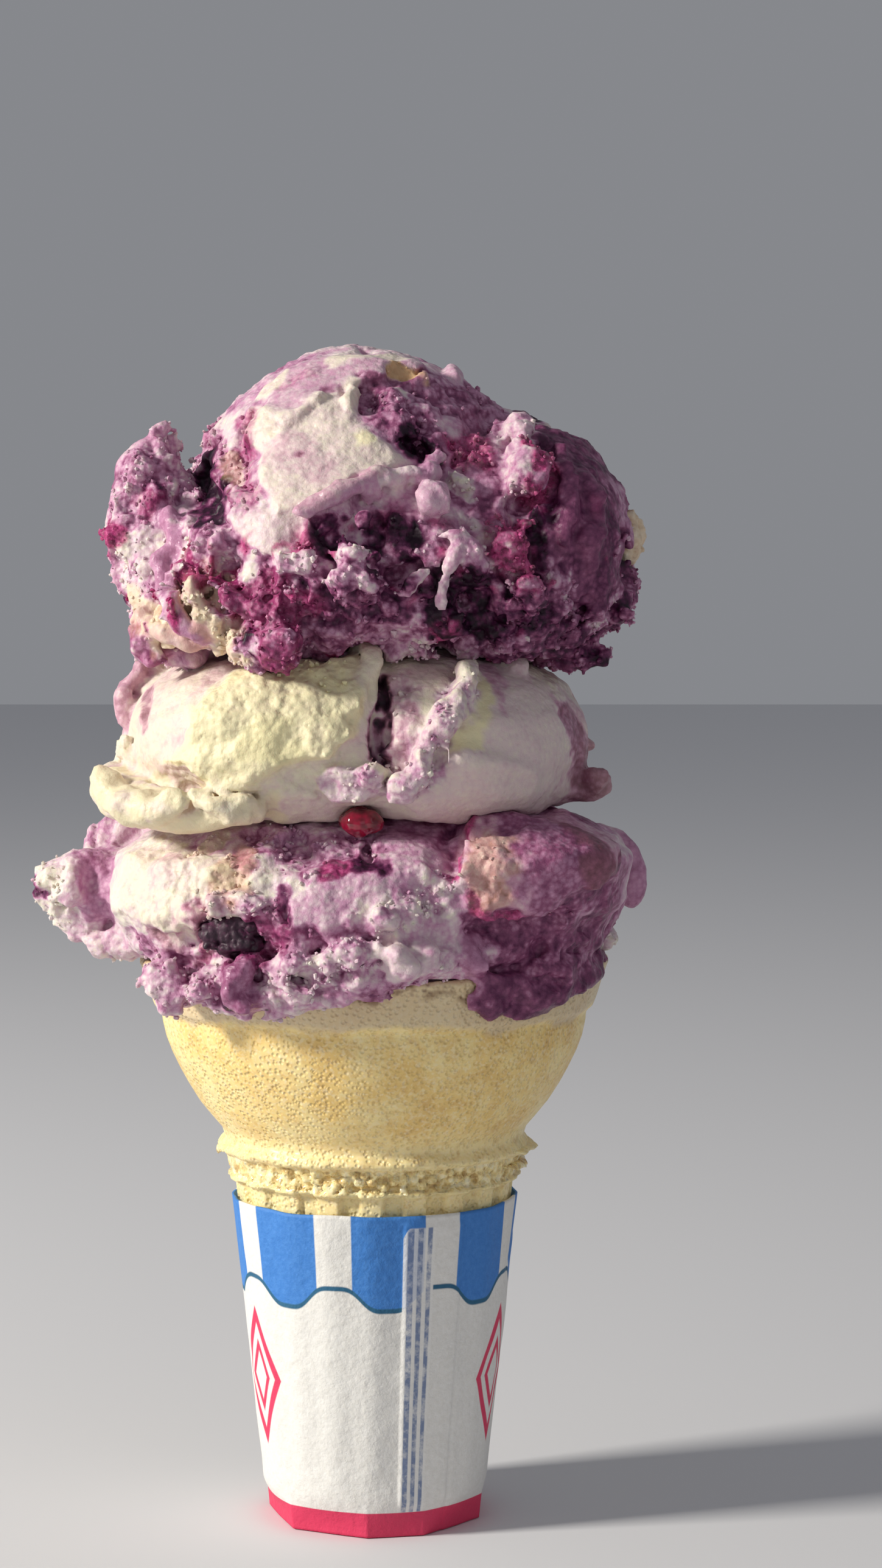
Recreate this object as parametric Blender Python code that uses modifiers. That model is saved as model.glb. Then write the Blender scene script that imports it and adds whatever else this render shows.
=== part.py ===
"""A flat-bottomed wafer cone in a paper jacket, holding three scoops of berry ice cream.

Metres, +Z up, the origin at the centre of the jacket's flat base. The side that shows is at -Y.
"""

import math

import bmesh
import bpy
import numpy as np
from mathutils import Vector, noise

MM = 0.001

# Driving dimensions, in millimetres
CONE_HEIGHT = 76.7
RIM_RADIUS = 32.0
WAFER_WALL = 1.9
JACKET_HEIGHT = 44.1
JACKET_TOP_RADIUS = 19.5
JACKET_BASE_RADIUS = 14.8
PAPER = 0.4
GAP = 0.35

# Heights on the stem, in millimetres: where the folded foot ends, where it is round, and its top
FOLD_TOP = 3.6
ROUND_FROM = 6.6
STEM_TOP = 46.6
RIB_DEPTH = 0.7

# Counts round the axis
RIBS = 20
POINTS_PER_RIB = 3
CONE_STEPS = RIBS * POINTS_PER_RIB
JACKET_STEPS = 40

# Directions, in degrees round +Z from +X. The front is at -90
FRONT = -90.0
BASE_CORNERS = [FRONT + turn for turn in (-47.0, -3.0, 27.0, 73.0, 120.0, 168.0, 212.0, 260.0)]


def clear_scene():
    for obj in list(bpy.data.objects):
        bpy.data.objects.remove(obj, do_unlink=True)


def new_collection(name):
    collection = bpy.data.collections.new(name)
    bpy.context.scene.collection.children.link(collection)
    return collection


def material(name, colour, roughness):
    made = bpy.data.materials.new(name)
    made.use_nodes = True
    shader = made.node_tree.nodes["Principled BSDF"]
    shader.inputs["Base Color"].default_value = (*colour, 1.0)
    shader.inputs["Roughness"].default_value = roughness
    shader.inputs["Metallic"].default_value = 0.0
    return made


def place(bm, name, collection, finish=None):
    """The bmesh, in millimetres, as an object in metres."""
    bmesh.ops.scale(bm, vec=(MM, MM, MM), verts=bm.verts)
    mesh = bpy.data.meshes.new(name)
    bm.to_mesh(mesh)
    bm.free()
    obj = bpy.data.objects.new(name, mesh)
    collection.objects.link(obj)
    if finish:
        mesh.materials.append(finish)
    return obj


def loft(rings, name, collection, finish=None, open_top=False):
    """A surface through rings of points that all turn the same way, closed below, and above unless open."""
    bm = bmesh.new()
    rows = [[bm.verts.new(point) for point in ring] for ring in rings]
    for low, high in zip(rows, rows[1:]):
        for i in range(len(low)):
            j = (i + 1) % len(low)
            bm.faces.new((low[i], low[j], high[j], high[i]))
    bm.faces.new(list(reversed(rows[0])))
    if not open_top:
        bm.faces.new(rows[-1])
    return place(bm, name, collection, finish)


def turned(profile, name, collection):
    """A solid turned round the axis. Its profile runs up the inside, if it has one, and down the outside."""
    bm = bmesh.new()
    verts = [bm.verts.new((radius, 0.0, height)) for radius, height in profile]
    for here, after in zip(verts, verts[1:]):
        bm.edges.new((here, after))
    obj = place(bm, name, collection)
    screw = obj.modifiers.new("turn", "SCREW")
    screw.steps = screw.render_steps = CONE_STEPS
    screw.use_merge_vertices = True
    screw.merge_threshold = 0.00001
    return obj


def ring(radius_at, height_at, steps):
    """Points round the axis, the radius and the height each a function of the angle in degrees."""
    points = []
    for i in range(steps):
        turn = 360.0 * i / steps
        radius = radius_at(turn)
        across = math.radians(turn)
        points.append((radius * math.cos(across), radius * math.sin(across), height_at(turn)))
    return points


def angle_between(a, b):
    """The angle from b to a, from -180 to 180 degrees."""
    return (a - b + 180.0) % 360.0 - 180.0


def bump(turn, centre, width):
    """1 at the centre, falling smoothly to 0 a few widths away, all in degrees."""
    return math.exp(-((angle_between(turn, centre) / width) ** 2))


# The jacket: a tapered paper cup, its foot folded to eight flat sides

def jacket_radius(height):
    share = height / JACKET_HEIGHT
    return JACKET_BASE_RADIUS + (JACKET_TOP_RADIUS - JACKET_BASE_RADIUS) * share


def folded_foot(radius, turn):
    """The radius of a polygon with its corners on the circle."""
    from_first = (turn - BASE_CORNERS[0]) % 360.0
    corners = [corner - BASE_CORNERS[0] for corner in BASE_CORNERS] + [360.0]
    after = next(i for i, corner in enumerate(corners) if corner > from_first)
    half_side = (corners[after] - corners[after - 1]) / 2
    from_middle = from_first - corners[after - 1] - half_side
    return radius * math.cos(math.radians(half_side)) / math.cos(math.radians(from_middle))


def jacket_ring(height, fold):
    """A ring of the jacket's outer side, fold 1 on the flat-sided foot and 0 where it is round."""

    def radius_at(turn):
        radius = jacket_radius(height)
        return radius + fold * (folded_foot(radius, turn) - radius)

    return ring(radius_at, lambda turn: height, JACKET_STEPS)


def make_jacket(collection, finish):
    rings = [jacket_ring(0.0, 1.0), jacket_ring(FOLD_TOP, 0.15), jacket_ring(ROUND_FROM, 0.0),
             jacket_ring(JACKET_HEIGHT, 0.0)]
    jacket = loft(rings, "paper_jacket", collection, finish, open_top=True)
    shell = jacket.modifiers.new("paper", "SOLIDIFY")
    shell.thickness = PAPER * MM
    shell.offset = -1.0
    return jacket


# The wafer: a ribbed stem, a torn flange and a bowl with a flared rim

BOWL = [(20.4, 52.8), (23.8, 57.2), (26.4, 61.6), (28.3, 66.0), (28.9, 69.2),
        (30.1, 70.3), (RIM_RADIUS, CONE_HEIGHT - 0.7), (RIM_RADIUS - 0.6, CONE_HEIGHT)]
BOWL_FLOOR = 55.6
FLANGE_LEFT = 180.0
FLANGE_RIGHT = 0.0


def rib(turn, depth):
    """Square ribs round the stem: 0 on a rib and -depth in the groove beside it."""
    step = round(turn / 360.0 * CONE_STEPS) % POINTS_PER_RIB
    return -depth if step == 0 else 0.0


def stem_radius(height):
    return jacket_radius(height) - PAPER - GAP


def torn(turn, size, seed):
    """Uneven steps round a torn edge, up to about this size."""
    across = math.radians(turn)
    return size * noise.noise(Vector((3.1 * math.cos(across), 3.1 * math.sin(across), seed)))


def flange_radius(turn):
    """The torn flange stands out most at the left and right, where a flake of it is left."""
    flakes = 1.2 * bump(turn, FLANGE_LEFT, 22.0) + 1.6 * bump(turn, FLANGE_RIGHT, 20.0)
    return 21.3 + flakes + torn(turn, 1.2, 4.0)


def flange_droop(turn):
    return 1.5 * bump(turn, FLANGE_LEFT, 16.0) + 1.2 * bump(turn, FLANGE_RIGHT, 18.0) + torn(turn, 0.7, 9.0)


def bowl_inside():
    """The bowl's inner wall up to its rim, a wall's thickness inside the outer one."""
    inner = []
    for radius, height in BOWL[1:-3]:
        inner.append((radius - WAFER_WALL - 0.2, height + 0.6))
    return inner + [(RIM_RADIUS - WAFER_WALL, CONE_HEIGHT)]


def stem_ring(height, fold):
    def radius_at(turn):
        radius = stem_radius(height)
        return radius + fold * (folded_foot(radius, turn) - radius) + rib(turn, RIB_DEPTH)

    return ring(radius_at, lambda turn: height, CONE_STEPS)


def make_stem(name, collection):
    heights_and_folds = [(PAPER + GAP, 1.0), (FOLD_TOP, 0.2), (ROUND_FROM, 0.0), (STEM_TOP, 0.0)]
    return loft([stem_ring(height, fold) for height, fold in heights_and_folds], name, collection)


def make_flange(name, collection):
    """The ragged ring of torn wafer between the stem and the bowl."""
    rings = [
        ring(lambda turn: 19.9 + torn(turn, 0.5, 1.0), lambda turn: STEM_TOP - 0.2, CONE_STEPS),
        ring(lambda turn: flange_radius(turn) - 1.1, lambda turn: 48.1 - 0.5 * flange_droop(turn), CONE_STEPS),
        ring(flange_radius, lambda turn: 49.4 - flange_droop(turn), CONE_STEPS),
        ring(lambda turn: flange_radius(turn) - 0.5, lambda turn: 50.5 - 0.6 * flange_droop(turn), CONE_STEPS),
        ring(lambda turn: 20.3, lambda turn: BOWL[0][1], CONE_STEPS),
    ]
    return loft(rings, name, collection)


def make_cone(collection, finish):
    floor = [(0.0, BOWL_FLOOR), (12.0, BOWL_FLOOR)]
    foot = [(0.0, BOWL[0][1] - 1.0)]
    cone = turned(floor + bowl_inside() + list(reversed(BOWL)) + foot, "wafer_cone", collection)
    boolean(cone, "UNION", [make_stem("stem", collection), make_flange("flange", collection)], "EXACT")
    cone.data.materials.append(finish)
    return cone


# The scoops

def lump(x, y, z, across, deep, high, fullness=2.0):
    """A round lump: its centre and its half-sizes. Fullness over 2 squares its edge off."""
    return {"centre": np.array((x, y, z)), "half": np.array((across, deep, high)), "fullness": fullness}


def inside_out(points, lumps, grow, blend=1.6):
    """How far each point lies outside the lumps, in millimetres, where they melt into each other by blend."""
    total = 0.0
    for one in lumps:
        away = (points - one["centre"]) / (one["half"] + grow)
        flat = np.hypot(away[..., 0], away[..., 1])
        power = one["fullness"]
        reach = (flat**power + np.abs(away[..., 2]) ** power) ** (1.0 / power)
        total = total + np.exp(-(reach - 1.0) * (one["half"].min() + grow) / blend)
    return -blend * np.log(total)


def reach_of(directions, centre, lumps, grow, longest=60.0, steps=240):
    """For each direction from the centre, how far out the lumps' skin is: the outermost crossing."""
    distances = np.linspace(2.0, longest, steps)
    points = centre + directions[:, None, :] * distances[None, :, None]
    inside = inside_out(points, lumps, grow) < 0.0
    last = steps - 1 - np.argmax(inside[:, ::-1], axis=1)
    low, high = distances[last], distances[np.minimum(last + 1, steps - 1)]
    for _ in range(12):
        middle = (low + high) / 2
        within = inside_out(centre + directions * middle[:, None], lumps, grow) < 0.0
        low, high = np.where(within, middle, low), np.where(within, high, middle)
    return low


def crags(points, torn_below, torn_above, depth):
    """Lumpy relief, in millimetres: deep between the two heights, where the scoop tore, slight elsewhere."""
    made = np.empty(len(points))
    for i, point in enumerate(points):
        coarse = noise.noise(Vector(point) / 7.5)
        fine = noise.noise(Vector(point) / 3.6 + Vector((5.0, 1.0, 3.0)))
        middle, half = (torn_below + torn_above) / 2, (torn_above - torn_below) / 2
        share = math.exp(-(((point[2] - middle) / half) ** 4))
        made[i] = (coarse * 1.3 + fine * 0.7) * (0.3 + 0.7 * share) * depth
    return made


def ball_of(spec, name, collection, grow):
    """A scoop's body: a sphere's points moved out to the skin of its lumps."""
    bm = bmesh.new()
    bmesh.ops.create_uvsphere(bm, u_segments=spec["around"], v_segments=spec["up"], radius=1.0)
    directions = np.array([vert.co.normalized() for vert in bm.verts])
    centre = np.array(spec["centre"])
    points = centre + directions * reach_of(directions, centre, spec["lumps"], grow)[:, None]
    rough = crags(points, *spec["torn"])
    points += directions * rough[:, None]
    for vert, point in zip(bm.verts, points):
        vert.co = point
    return place(bm, name, collection)


def lobe(points, radii, name, collection, grow):
    """A flap, lip or drip: a tube through the points, thick and thin as the radii say, made a closed mesh."""
    curve = bpy.data.curves.new(name, "CURVE")
    curve.dimensions = "3D"
    curve.bevel_depth = MM
    curve.bevel_resolution = 2
    curve.resolution_u = 2
    curve.use_fill_caps = True
    spline = curve.splines.new("BEZIER")
    spline.bezier_points.add(len(points) - 1)
    for knot, point, radius in zip(spline.bezier_points, points, radii):
        knot.co = Vector(point) * MM
        knot.handle_left_type = knot.handle_right_type = "AUTO"
        knot.radius = radius + grow
    tube = bpy.data.objects.new(name, curve)
    collection.objects.link(tube)
    bpy.context.view_layer.update()
    graph = bpy.context.evaluated_depsgraph_get()
    mesh = bpy.data.meshes.new_from_object(tube.evaluated_get(graph))
    bpy.data.objects.remove(tube, do_unlink=True)
    bm = bmesh.new()
    bm.from_mesh(mesh)
    bmesh.ops.remove_doubles(bm, verts=bm.verts, dist=0.00002)
    bmesh.ops.recalc_face_normals(bm, faces=bm.faces)
    bm.to_mesh(mesh)
    bm.free()
    obj = bpy.data.objects.new(name, mesh)
    collection.objects.link(obj)
    return obj


def boolean(target, operation, tools, solver="MANIFOLD"):
    """Joins or cuts the target with the tools in one step, applies it and removes the tools.

    The exact solver leaves open edges and sealed hollows on the scoops, where many lobes cross.
    """
    group = bpy.data.collections.new("tools")
    for tool in tools:
        group.objects.link(tool)
    modifier = target.modifiers.new(operation.lower(), "BOOLEAN")
    modifier.operation = operation
    modifier.operand_type = "COLLECTION"
    modifier.collection = group
    modifier.solver = solver
    bpy.context.view_layer.update()
    graph = bpy.context.evaluated_depsgraph_get()
    made = bpy.data.meshes.new_from_object(target.evaluated_get(graph))
    target.modifiers.clear()
    target.data = made
    keep_largest_shell(target)
    for tool in tools:
        bpy.data.objects.remove(tool, do_unlink=True)
    bpy.data.collections.remove(group)


def keep_largest_shell(obj):
    """Removes the crumbs that a Boolean leaves: every shell but the one with the most vertices."""
    bm = bmesh.new()
    bm.from_mesh(obj.data)
    shells, seen = [], set()
    for start in bm.verts:
        if start in seen:
            continue
        shell, edge_of_search = {start}, [start]
        while edge_of_search:
            vert = edge_of_search.pop()
            near = {edge.other_vert(vert) for edge in vert.link_edges} - shell
            shell |= near
            edge_of_search.extend(near)
        seen |= shell
        shells.append(shell)
    largest = max(shells, key=len)
    bmesh.ops.delete(bm, geom=[vert for vert in bm.verts if vert not in largest], context="VERTS")
    bm.to_mesh(obj.data)
    bm.free()


def bowl_filling(collection, grow):
    """The ice cream pressed down into the bowl, its wall a gap inside the wafer's."""
    clear = GAP - grow
    top = CONE_HEIGHT + 5.0
    profile = [(0.0, top), (RIM_RADIUS - WAFER_WALL - clear - 2.0, top)]
    for radius, height in reversed(bowl_inside()):
        profile.append((radius - clear, height + clear * 0.7))
    profile += [(10.0, BOWL_FLOOR + clear), (0.0, BOWL_FLOOR + clear)]
    return turned(profile, "filling", collection)


def make_scoop(spec, name, collection, grow=0.0):
    """One scoop: its body, and the lobes that hang from it, joined into one solid."""
    body = ball_of(spec, name, collection, grow)
    pieces = []
    for i, (points, radii) in enumerate(spec["lobes"]):
        pieces.append(lobe(points, radii, f"{name}_lobe_{i}", collection, grow))
    if spec.get("fills_bowl"):
        pieces.append(bowl_filling(collection, grow))
    boolean(body, "UNION", pieces)
    return body


BOTTOM = {
    "centre": (0.0, 0.0, 84.8), "around": 40, "up": 18, "torn": (71.8, 85.8, 1.0), "fills_bowl": True,
    "lumps": [
        lump(-0.5, 0.0, 84.8, 33.2, 33.0, 14.6, 2.5),
        lump(20.0, -14.0, 89.8, 14.0, 17.5, 7.0, 2.2),
        lump(-19.0, -13.0, 86.3, 15.5, 18.0, 9.5, 2.2),
        lump(-2.0, -22.0, 84.3, 15.0, 12.5, 9.0, 2.2),
        lump(6.0, 20.0, 85.8, 16.0, 14.5, 9.5, 2.2),
    ],
    "lobes": [
        ([(-30.0, -2.0, 86.8), (-36.0, -4.0, 86.3), (-41.0, -5.0, 86.3), (-46.0, -5.0, 87.3)],
         [5.0, 5.2, 5.6, 2.0]),
        ([(-34.0, -2.0, 83.8), (-39.5, -4.0, 81.3), (-42.5, -5.0, 79.8)], [3.5, 4.0, 1.6]),
        ([(-28.0, -6.0, 79.8), (-33.5, -6.0, 78.8), (-38.0, -5.0, 78.8), (-40.5, -5.0, 79.4)],
         [2.6, 2.9, 2.6, 1.2]),
        ([(-30.0, 3.0, 94.8), (-35.0, 2.0, 93.8), (-37.0, 1.0, 90.8), (-36.0, 0.0, 87.8)],
         [3.4, 3.6, 3.0, 2.0]),
        ([(29.0, 4.0, 92.8), (33.2, 4.0, 92.2), (35.2, 3.6, 88.8), (35.4, 3.4, 84.8), (34.9, 3.2, 82.2)],
         [2.0, 2.2, 2.3, 2.3, 1.4]),
        ([(-25.5, -21.0, 78.8), (-25.0, -22.5, 75.8), (-24.2, -22.6, 72.8)], [3.0, 2.9, 1.5]),
        ([(-19.0, -26.5, 77.8), (-18.0, -28.0, 74.4), (-12.0, -31.4, 74.1), (-5.0, -33.0, 75.6),
          (2.0, -33.4, 77.4), (8.0, -31.0, 79.8)], [2.6, 2.9, 2.6, 2.5, 2.6, 2.2]),
        ([(16.0, 27.0, 79.8), (17.0, 29.5, 76.8), (16.0, 30.6, 73.8)], [3.4, 3.0, 1.6]),
    ],
}

MIDDLE = {
    "centre": (-2.5, 0.0, 104.8), "around": 42, "up": 22, "torn": (94.8, 105.8, 0.8),
    "lumps": [
        lump(-3.0, 0.5, 105.3, 29.8, 29.5, 14.6, 2.5),
        lump(-13.0, -12.0, 106.3, 17.0, 18.5, 10.5, 2.3),
        lump(10.0, -8.5, 105.8, 17.5, 22.0, 11.5, 2.2),
        lump(0.0, 16.0, 103.8, 20.0, 15.0, 9.0, 2.2),
    ],
    "lobes": [
        ([(-34.4, -3.0, 101.5), (-34.4, -10.5, 100.1), (-31.0, -18.5, 98.6), (-24.5, -25.5, 97.8),
          (-16.5, -30.0, 98.2)], [2.6, 3.4, 3.6, 3.2, 1.8]),
        ([(-30.4, 4.0, 116.6), (-31.0, 1.0, 112.0), (-31.8, -1.0, 107.0), (-33.0, -2.0, 102.0)],
         [1.9, 2.3, 2.6, 2.6]),
        ([(23.6, -10.2, 100.9), (28.5, -10.5, 100.4), (32.0, -10.5, 100.6)], [2.6, 2.2, 1.2]),
        ([(12.0, 27.0, 99.8), (20.0, 25.0, 98.2), (26.0, 19.0, 98.4)], [2.2, 3.2, 1.8]),
    ],
}

TOP = {
    "centre": (0.0, 0.0, 132.8), "around": 42, "up": 22, "torn": (113.8, 135.8, 1.3),
    "lumps": [
        lump(0.0, 0.0, 127.4, 31.6, 31.6, 12.6, 2.7),
        lump(-1.8, 1.0, 136.3, 23.0, 25.0, 22.6, 2.1),
        lump(18.5, -4.0, 132.3, 16.2, 20.0, 16.6, 2.1),
        lump(-5.0, -14.0, 130.8, 19.0, 16.0, 14.0, 2.2),
        lump(3.0, 18.0, 130.8, 22.0, 14.0, 13.0, 2.2),
    ],
    "lobes": [
        ([(-23.6, -14.0, 119.8), (-28.2, -12.0, 127.8), (-29.4, -9.5, 135.8), (-28.9, -8.5, 142.8),
          (-27.6, -8.0, 148.2)], [5.4, 6.4, 6.0, 5.3, 1.2]),
        ([(-27.0, 4.0, 121.8), (-30.4, 0.0, 128.8), (-31.2, -3.0, 134.8), (-29.5, -3.0, 139.8)],
         [4.4, 4.6, 4.0, 2.0]),
        ([(-31.5, -8.0, 131.8), (-34.5, -9.0, 132.8), (-36.0, -9.0, 132.8)], [2.6, 1.9, 1.0]),
        ([(-14.0, -24.0, 122.8), (-13.5, -28.5, 119.4), (-12.6, -29.4, 116.2)], [5.0, 4.6, 2.2]),
        ([(-22.0, -14.0, 118.8), (-25.5, -12.0, 116.4), (-24.0, -14.0, 114.6)], [4.0, 3.0, 1.6]),
        ([(22.0, -8.0, 120.8), (27.0, -9.0, 118.4), (28.0, -9.5, 115.2)], [5.0, 3.6, 1.8]),
        ([(25.0, 4.0, 128.8), (29.0, 3.0, 125.3), (30.6, 2.0, 122.8)], [5.0, 3.0, 1.6]),
        ([(8.0, 27.0, 124.8), (16.0, 28.0, 120.8), (22.0, 23.0, 118.8)], [4.0, 4.4, 2.2]),
        ([(-16.0, 24.0, 125.8), (-20.0, 26.0, 120.4), (-18.0, 26.0, 117.4)], [4.4, 3.8, 2.0]),
    ],
}


# Inclusions as large as berries, each in a socket that the scoops round it leave for it

INCLUSIONS = [
    {"name": "blueberry", "scoops": ("scoop_bottom",), "centre": (-17.2, -30.2, 82.4),
     "half": (4.1, 3.2, 3.2)},
    {"name": "berry_jelly", "scoops": ("scoop_bottom", "scoop_middle"), "centre": (-1.2, -27.6, 96.7),
     "half": (2.9, 2.6, 2.0)},
    {"name": "crust_chunk_left", "scoops": ("scoop_top", "scoop_middle"), "centre": (-23.4, -21.4, 122.4),
     "half": (4.2, 3.6, 4.0)},
    {"name": "crust_chunk_right", "scoops": ("scoop_top",), "centre": (33.6, -2.4, 133.2),
     "half": (2.8, 3.4, 3.6)},
]


def inclusion(spec, collection, grow, finish=None):
    bm = bmesh.new()
    bmesh.ops.create_uvsphere(bm, u_segments=12, v_segments=8, radius=1.0)
    half, centre = Vector(spec["half"]), Vector(spec["centre"])
    for vert in bm.verts:
        uneven = 1.0 + 0.12 * noise.noise(vert.co * 1.7 + centre)
        reach = Vector((half[i] * uneven + grow for i in range(3)))
        vert.co = Vector((vert.co[i] * reach[i] for i in range(3))) + centre
    return place(bm, spec["name"] if finish else spec["name"] + "_socket", collection, finish)


def bowl_cutter(collection):
    """The bowl and its inside wall, a gap larger all over, which the lowest scoop is cut clear of."""
    inner = [(radius - GAP, height + GAP * 0.5) for radius, height in bowl_inside()[:-1]]
    rim = [(RIM_RADIUS - WAFER_WALL - GAP, CONE_HEIGHT + GAP), (RIM_RADIUS - 0.3, CONE_HEIGHT + GAP),
           (RIM_RADIUS + GAP, CONE_HEIGHT - 0.4)]
    outer = [(radius + GAP, height) for radius, height in reversed(BOWL[:-2])]
    floor, foot = BOWL_FLOOR + GAP * 0.9, BOWL[0][1] - 2.0
    profile = [(0.0, floor), (11.9, floor)] + inner + rim + outer + [(0.0, foot)]
    return turned(profile, "bowl_cutter", collection)


def smooth(obj):
    obj.data.shade_smooth()
    obj.data.set_sharp_from_angle(angle=math.radians(40.0))


def main():
    clear_scene()
    parts = new_collection("ice_cream_cone")
    paper = material("jacket_paper", (0.86, 0.85, 0.81), 0.75)
    wafer = material("wafer", (0.80, 0.60, 0.30), 0.80)
    berry_cream = material("berry_cream", (0.55, 0.30, 0.47), 0.45)
    pale_cream = material("pale_cream", (0.86, 0.82, 0.68), 0.45)
    berry = material("berry_skin", (0.06, 0.02, 0.09), 0.40)
    jelly = material("berry_jelly_red", (0.30, 0.01, 0.05), 0.15)
    crust = material("baked_crust", (0.78, 0.62, 0.36), 0.80)
    finishes = {"blueberry": berry, "berry_jelly": jelly}

    jacket = make_jacket(parts, paper)
    cone = make_cone(parts, wafer)
    bottom = make_scoop(BOTTOM, "scoop_bottom", parts)
    middle = make_scoop(MIDDLE, "scoop_middle", parts)
    top = make_scoop(TOP, "scoop_top", parts)
    scoops = {"scoop_bottom": bottom, "scoop_middle": middle, "scoop_top": top}

    boolean(bottom, "DIFFERENCE", [bowl_cutter(parts)])
    boolean(middle, "DIFFERENCE", [make_scoop(BOTTOM, "under_middle", parts, GAP + 0.15)])
    boolean(top, "DIFFERENCE", [make_scoop(MIDDLE, "under_top", parts, GAP + 0.15)])
    for spec in INCLUSIONS:
        for name in spec["scoops"]:
            boolean(scoops[name], "DIFFERENCE", [inclusion(spec, parts, GAP + 0.05)])
        inclusion(spec, parts, 0.0, finishes.get(spec["name"], crust))
    for scoop, finish in ((bottom, berry_cream), (middle, pale_cream), (top, berry_cream)):
        scoop.data.materials.clear()
        scoop.data.materials.append(finish)
    for obj in parts.objects:
        smooth(obj)


main()
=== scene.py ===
# %% [markdown]
# # Three scoops on a flat-bottomed wafer cone
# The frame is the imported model: plain solids at their real size. This lesson gives them their looks.
# The scoops are torn, smeared and crumbly, so they are carved in a block of numbers that says how far
# each spot is from the surface. The wafer and its paper jacket are turned shapes, worked out on grids.

# %% Load the frame
import math
from concurrent.futures import ThreadPoolExecutor

import bpy
import numpy as np
import openvdb
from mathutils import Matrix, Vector
from mathutils.bvhtree import BVHTree


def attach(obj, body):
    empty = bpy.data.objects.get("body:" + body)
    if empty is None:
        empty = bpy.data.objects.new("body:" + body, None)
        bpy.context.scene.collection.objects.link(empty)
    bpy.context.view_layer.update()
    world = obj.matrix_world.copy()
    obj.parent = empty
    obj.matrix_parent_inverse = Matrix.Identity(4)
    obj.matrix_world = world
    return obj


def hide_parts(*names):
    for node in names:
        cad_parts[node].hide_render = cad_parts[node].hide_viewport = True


MM = 0.001
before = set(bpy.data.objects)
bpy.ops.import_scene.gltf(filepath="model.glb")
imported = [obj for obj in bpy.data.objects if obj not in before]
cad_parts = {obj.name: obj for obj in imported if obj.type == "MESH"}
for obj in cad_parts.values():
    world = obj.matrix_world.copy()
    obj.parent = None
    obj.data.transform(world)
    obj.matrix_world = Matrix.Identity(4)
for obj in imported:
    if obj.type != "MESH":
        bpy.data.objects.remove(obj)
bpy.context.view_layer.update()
print("nodes:", ", ".join(sorted(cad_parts)))

# %% [markdown]
# ## The camera
# A long phone lens stood about half a metre away and looked slightly down. With its place and its focal
# length known, any spot in the photograph can be carried back to a spot on the ice cream, which is how
# the ridges, hollows and patches below find their places. All lengths in this lesson are in millimetres.

# %% Camera, and the way from a point to a pixel and back
PHOTO = np.array((1449.0, 2576.0))
FOCAL_PX = 5733.0
LOOKS_DOWN = math.radians(3.42)
EYE = np.array((9.1, -473.0, 128.2))
AHEAD = np.array((0.0, math.cos(LOOKS_DOWN), -math.sin(LOOKS_DOWN)))
UPWARD = np.array((0.0, math.sin(LOOKS_DOWN), math.cos(LOOKS_DOWN)))
SENSOR_HEIGHT = 24.0


def make_camera():
    lens = bpy.data.cameras.new("photo_camera")
    lens.sensor_fit = "VERTICAL"
    lens.sensor_height = SENSOR_HEIGHT
    lens.lens = FOCAL_PX / PHOTO[1] * SENSOR_HEIGHT
    lens.clip_start = 0.02
    camera = bpy.data.objects.new("photo_camera", lens)
    bpy.context.scene.collection.objects.link(camera)
    camera.location = Vector(EYE) * MM
    camera.rotation_euler = (math.pi / 2 - LOOKS_DOWN, 0.0, 0.0)
    bpy.context.scene.camera = camera
    return lens.lens


def photo_of(points):
    """Pixel = image middle + focal length times the sideways and upward shares of the distance ahead."""
    away = points - EYE
    depth = away @ AHEAD
    across = PHOTO[0] / 2 + FOCAL_PX * away[:, 0] / depth
    down = PHOTO[1] / 2 - FOCAL_PX * (away @ UPWARD) / depth
    return across, down


def ray_through(pixel):
    """The direction from the eye through a pixel: photo_of read backwards."""
    right = (pixel[0] - PHOTO[0] / 2) / FOCAL_PX
    up = (PHOTO[1] / 2 - pixel[1]) / FOCAL_PX
    direction = AHEAD + UPWARD * up + np.array((right, 0.0, 0.0))
    return direction / np.linalg.norm(direction)


print("lens:", round(make_camera(), 1), "mm on a", SENSOR_HEIGHT, "mm sensor")

# %% [markdown]
# ## Two kinds of randomness
# Frozen cream is uneven in two ways. Soft hills and streaks come from smooth noise. Crumbly, torn
# places are packed clumps with creases between them, which come from the distance to scattered seeds.

# %% Noise, worked out for whole arrays of points
LATTICE = 32
PART = 40000
WORKERS = ThreadPoolExecutor(4)


def in_parts(work, *arrays):
    """The same work on a part of the arrays at a time, with several parts under way at once."""
    count = max(1, len(arrays[0]) // PART)
    parts = [np.array_split(array, count) for array in arrays]
    return np.concatenate(list(WORKERS.map(work, *parts)))


def cells_of(points, size, shift):
    """Which cube of a lattice each point is in, as three rows, and how far along it the point is."""
    place = (points / size + shift + 64.0).astype(np.float32).T
    whole = np.floor(place)
    return whole.astype(np.int32), place - whole


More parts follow.
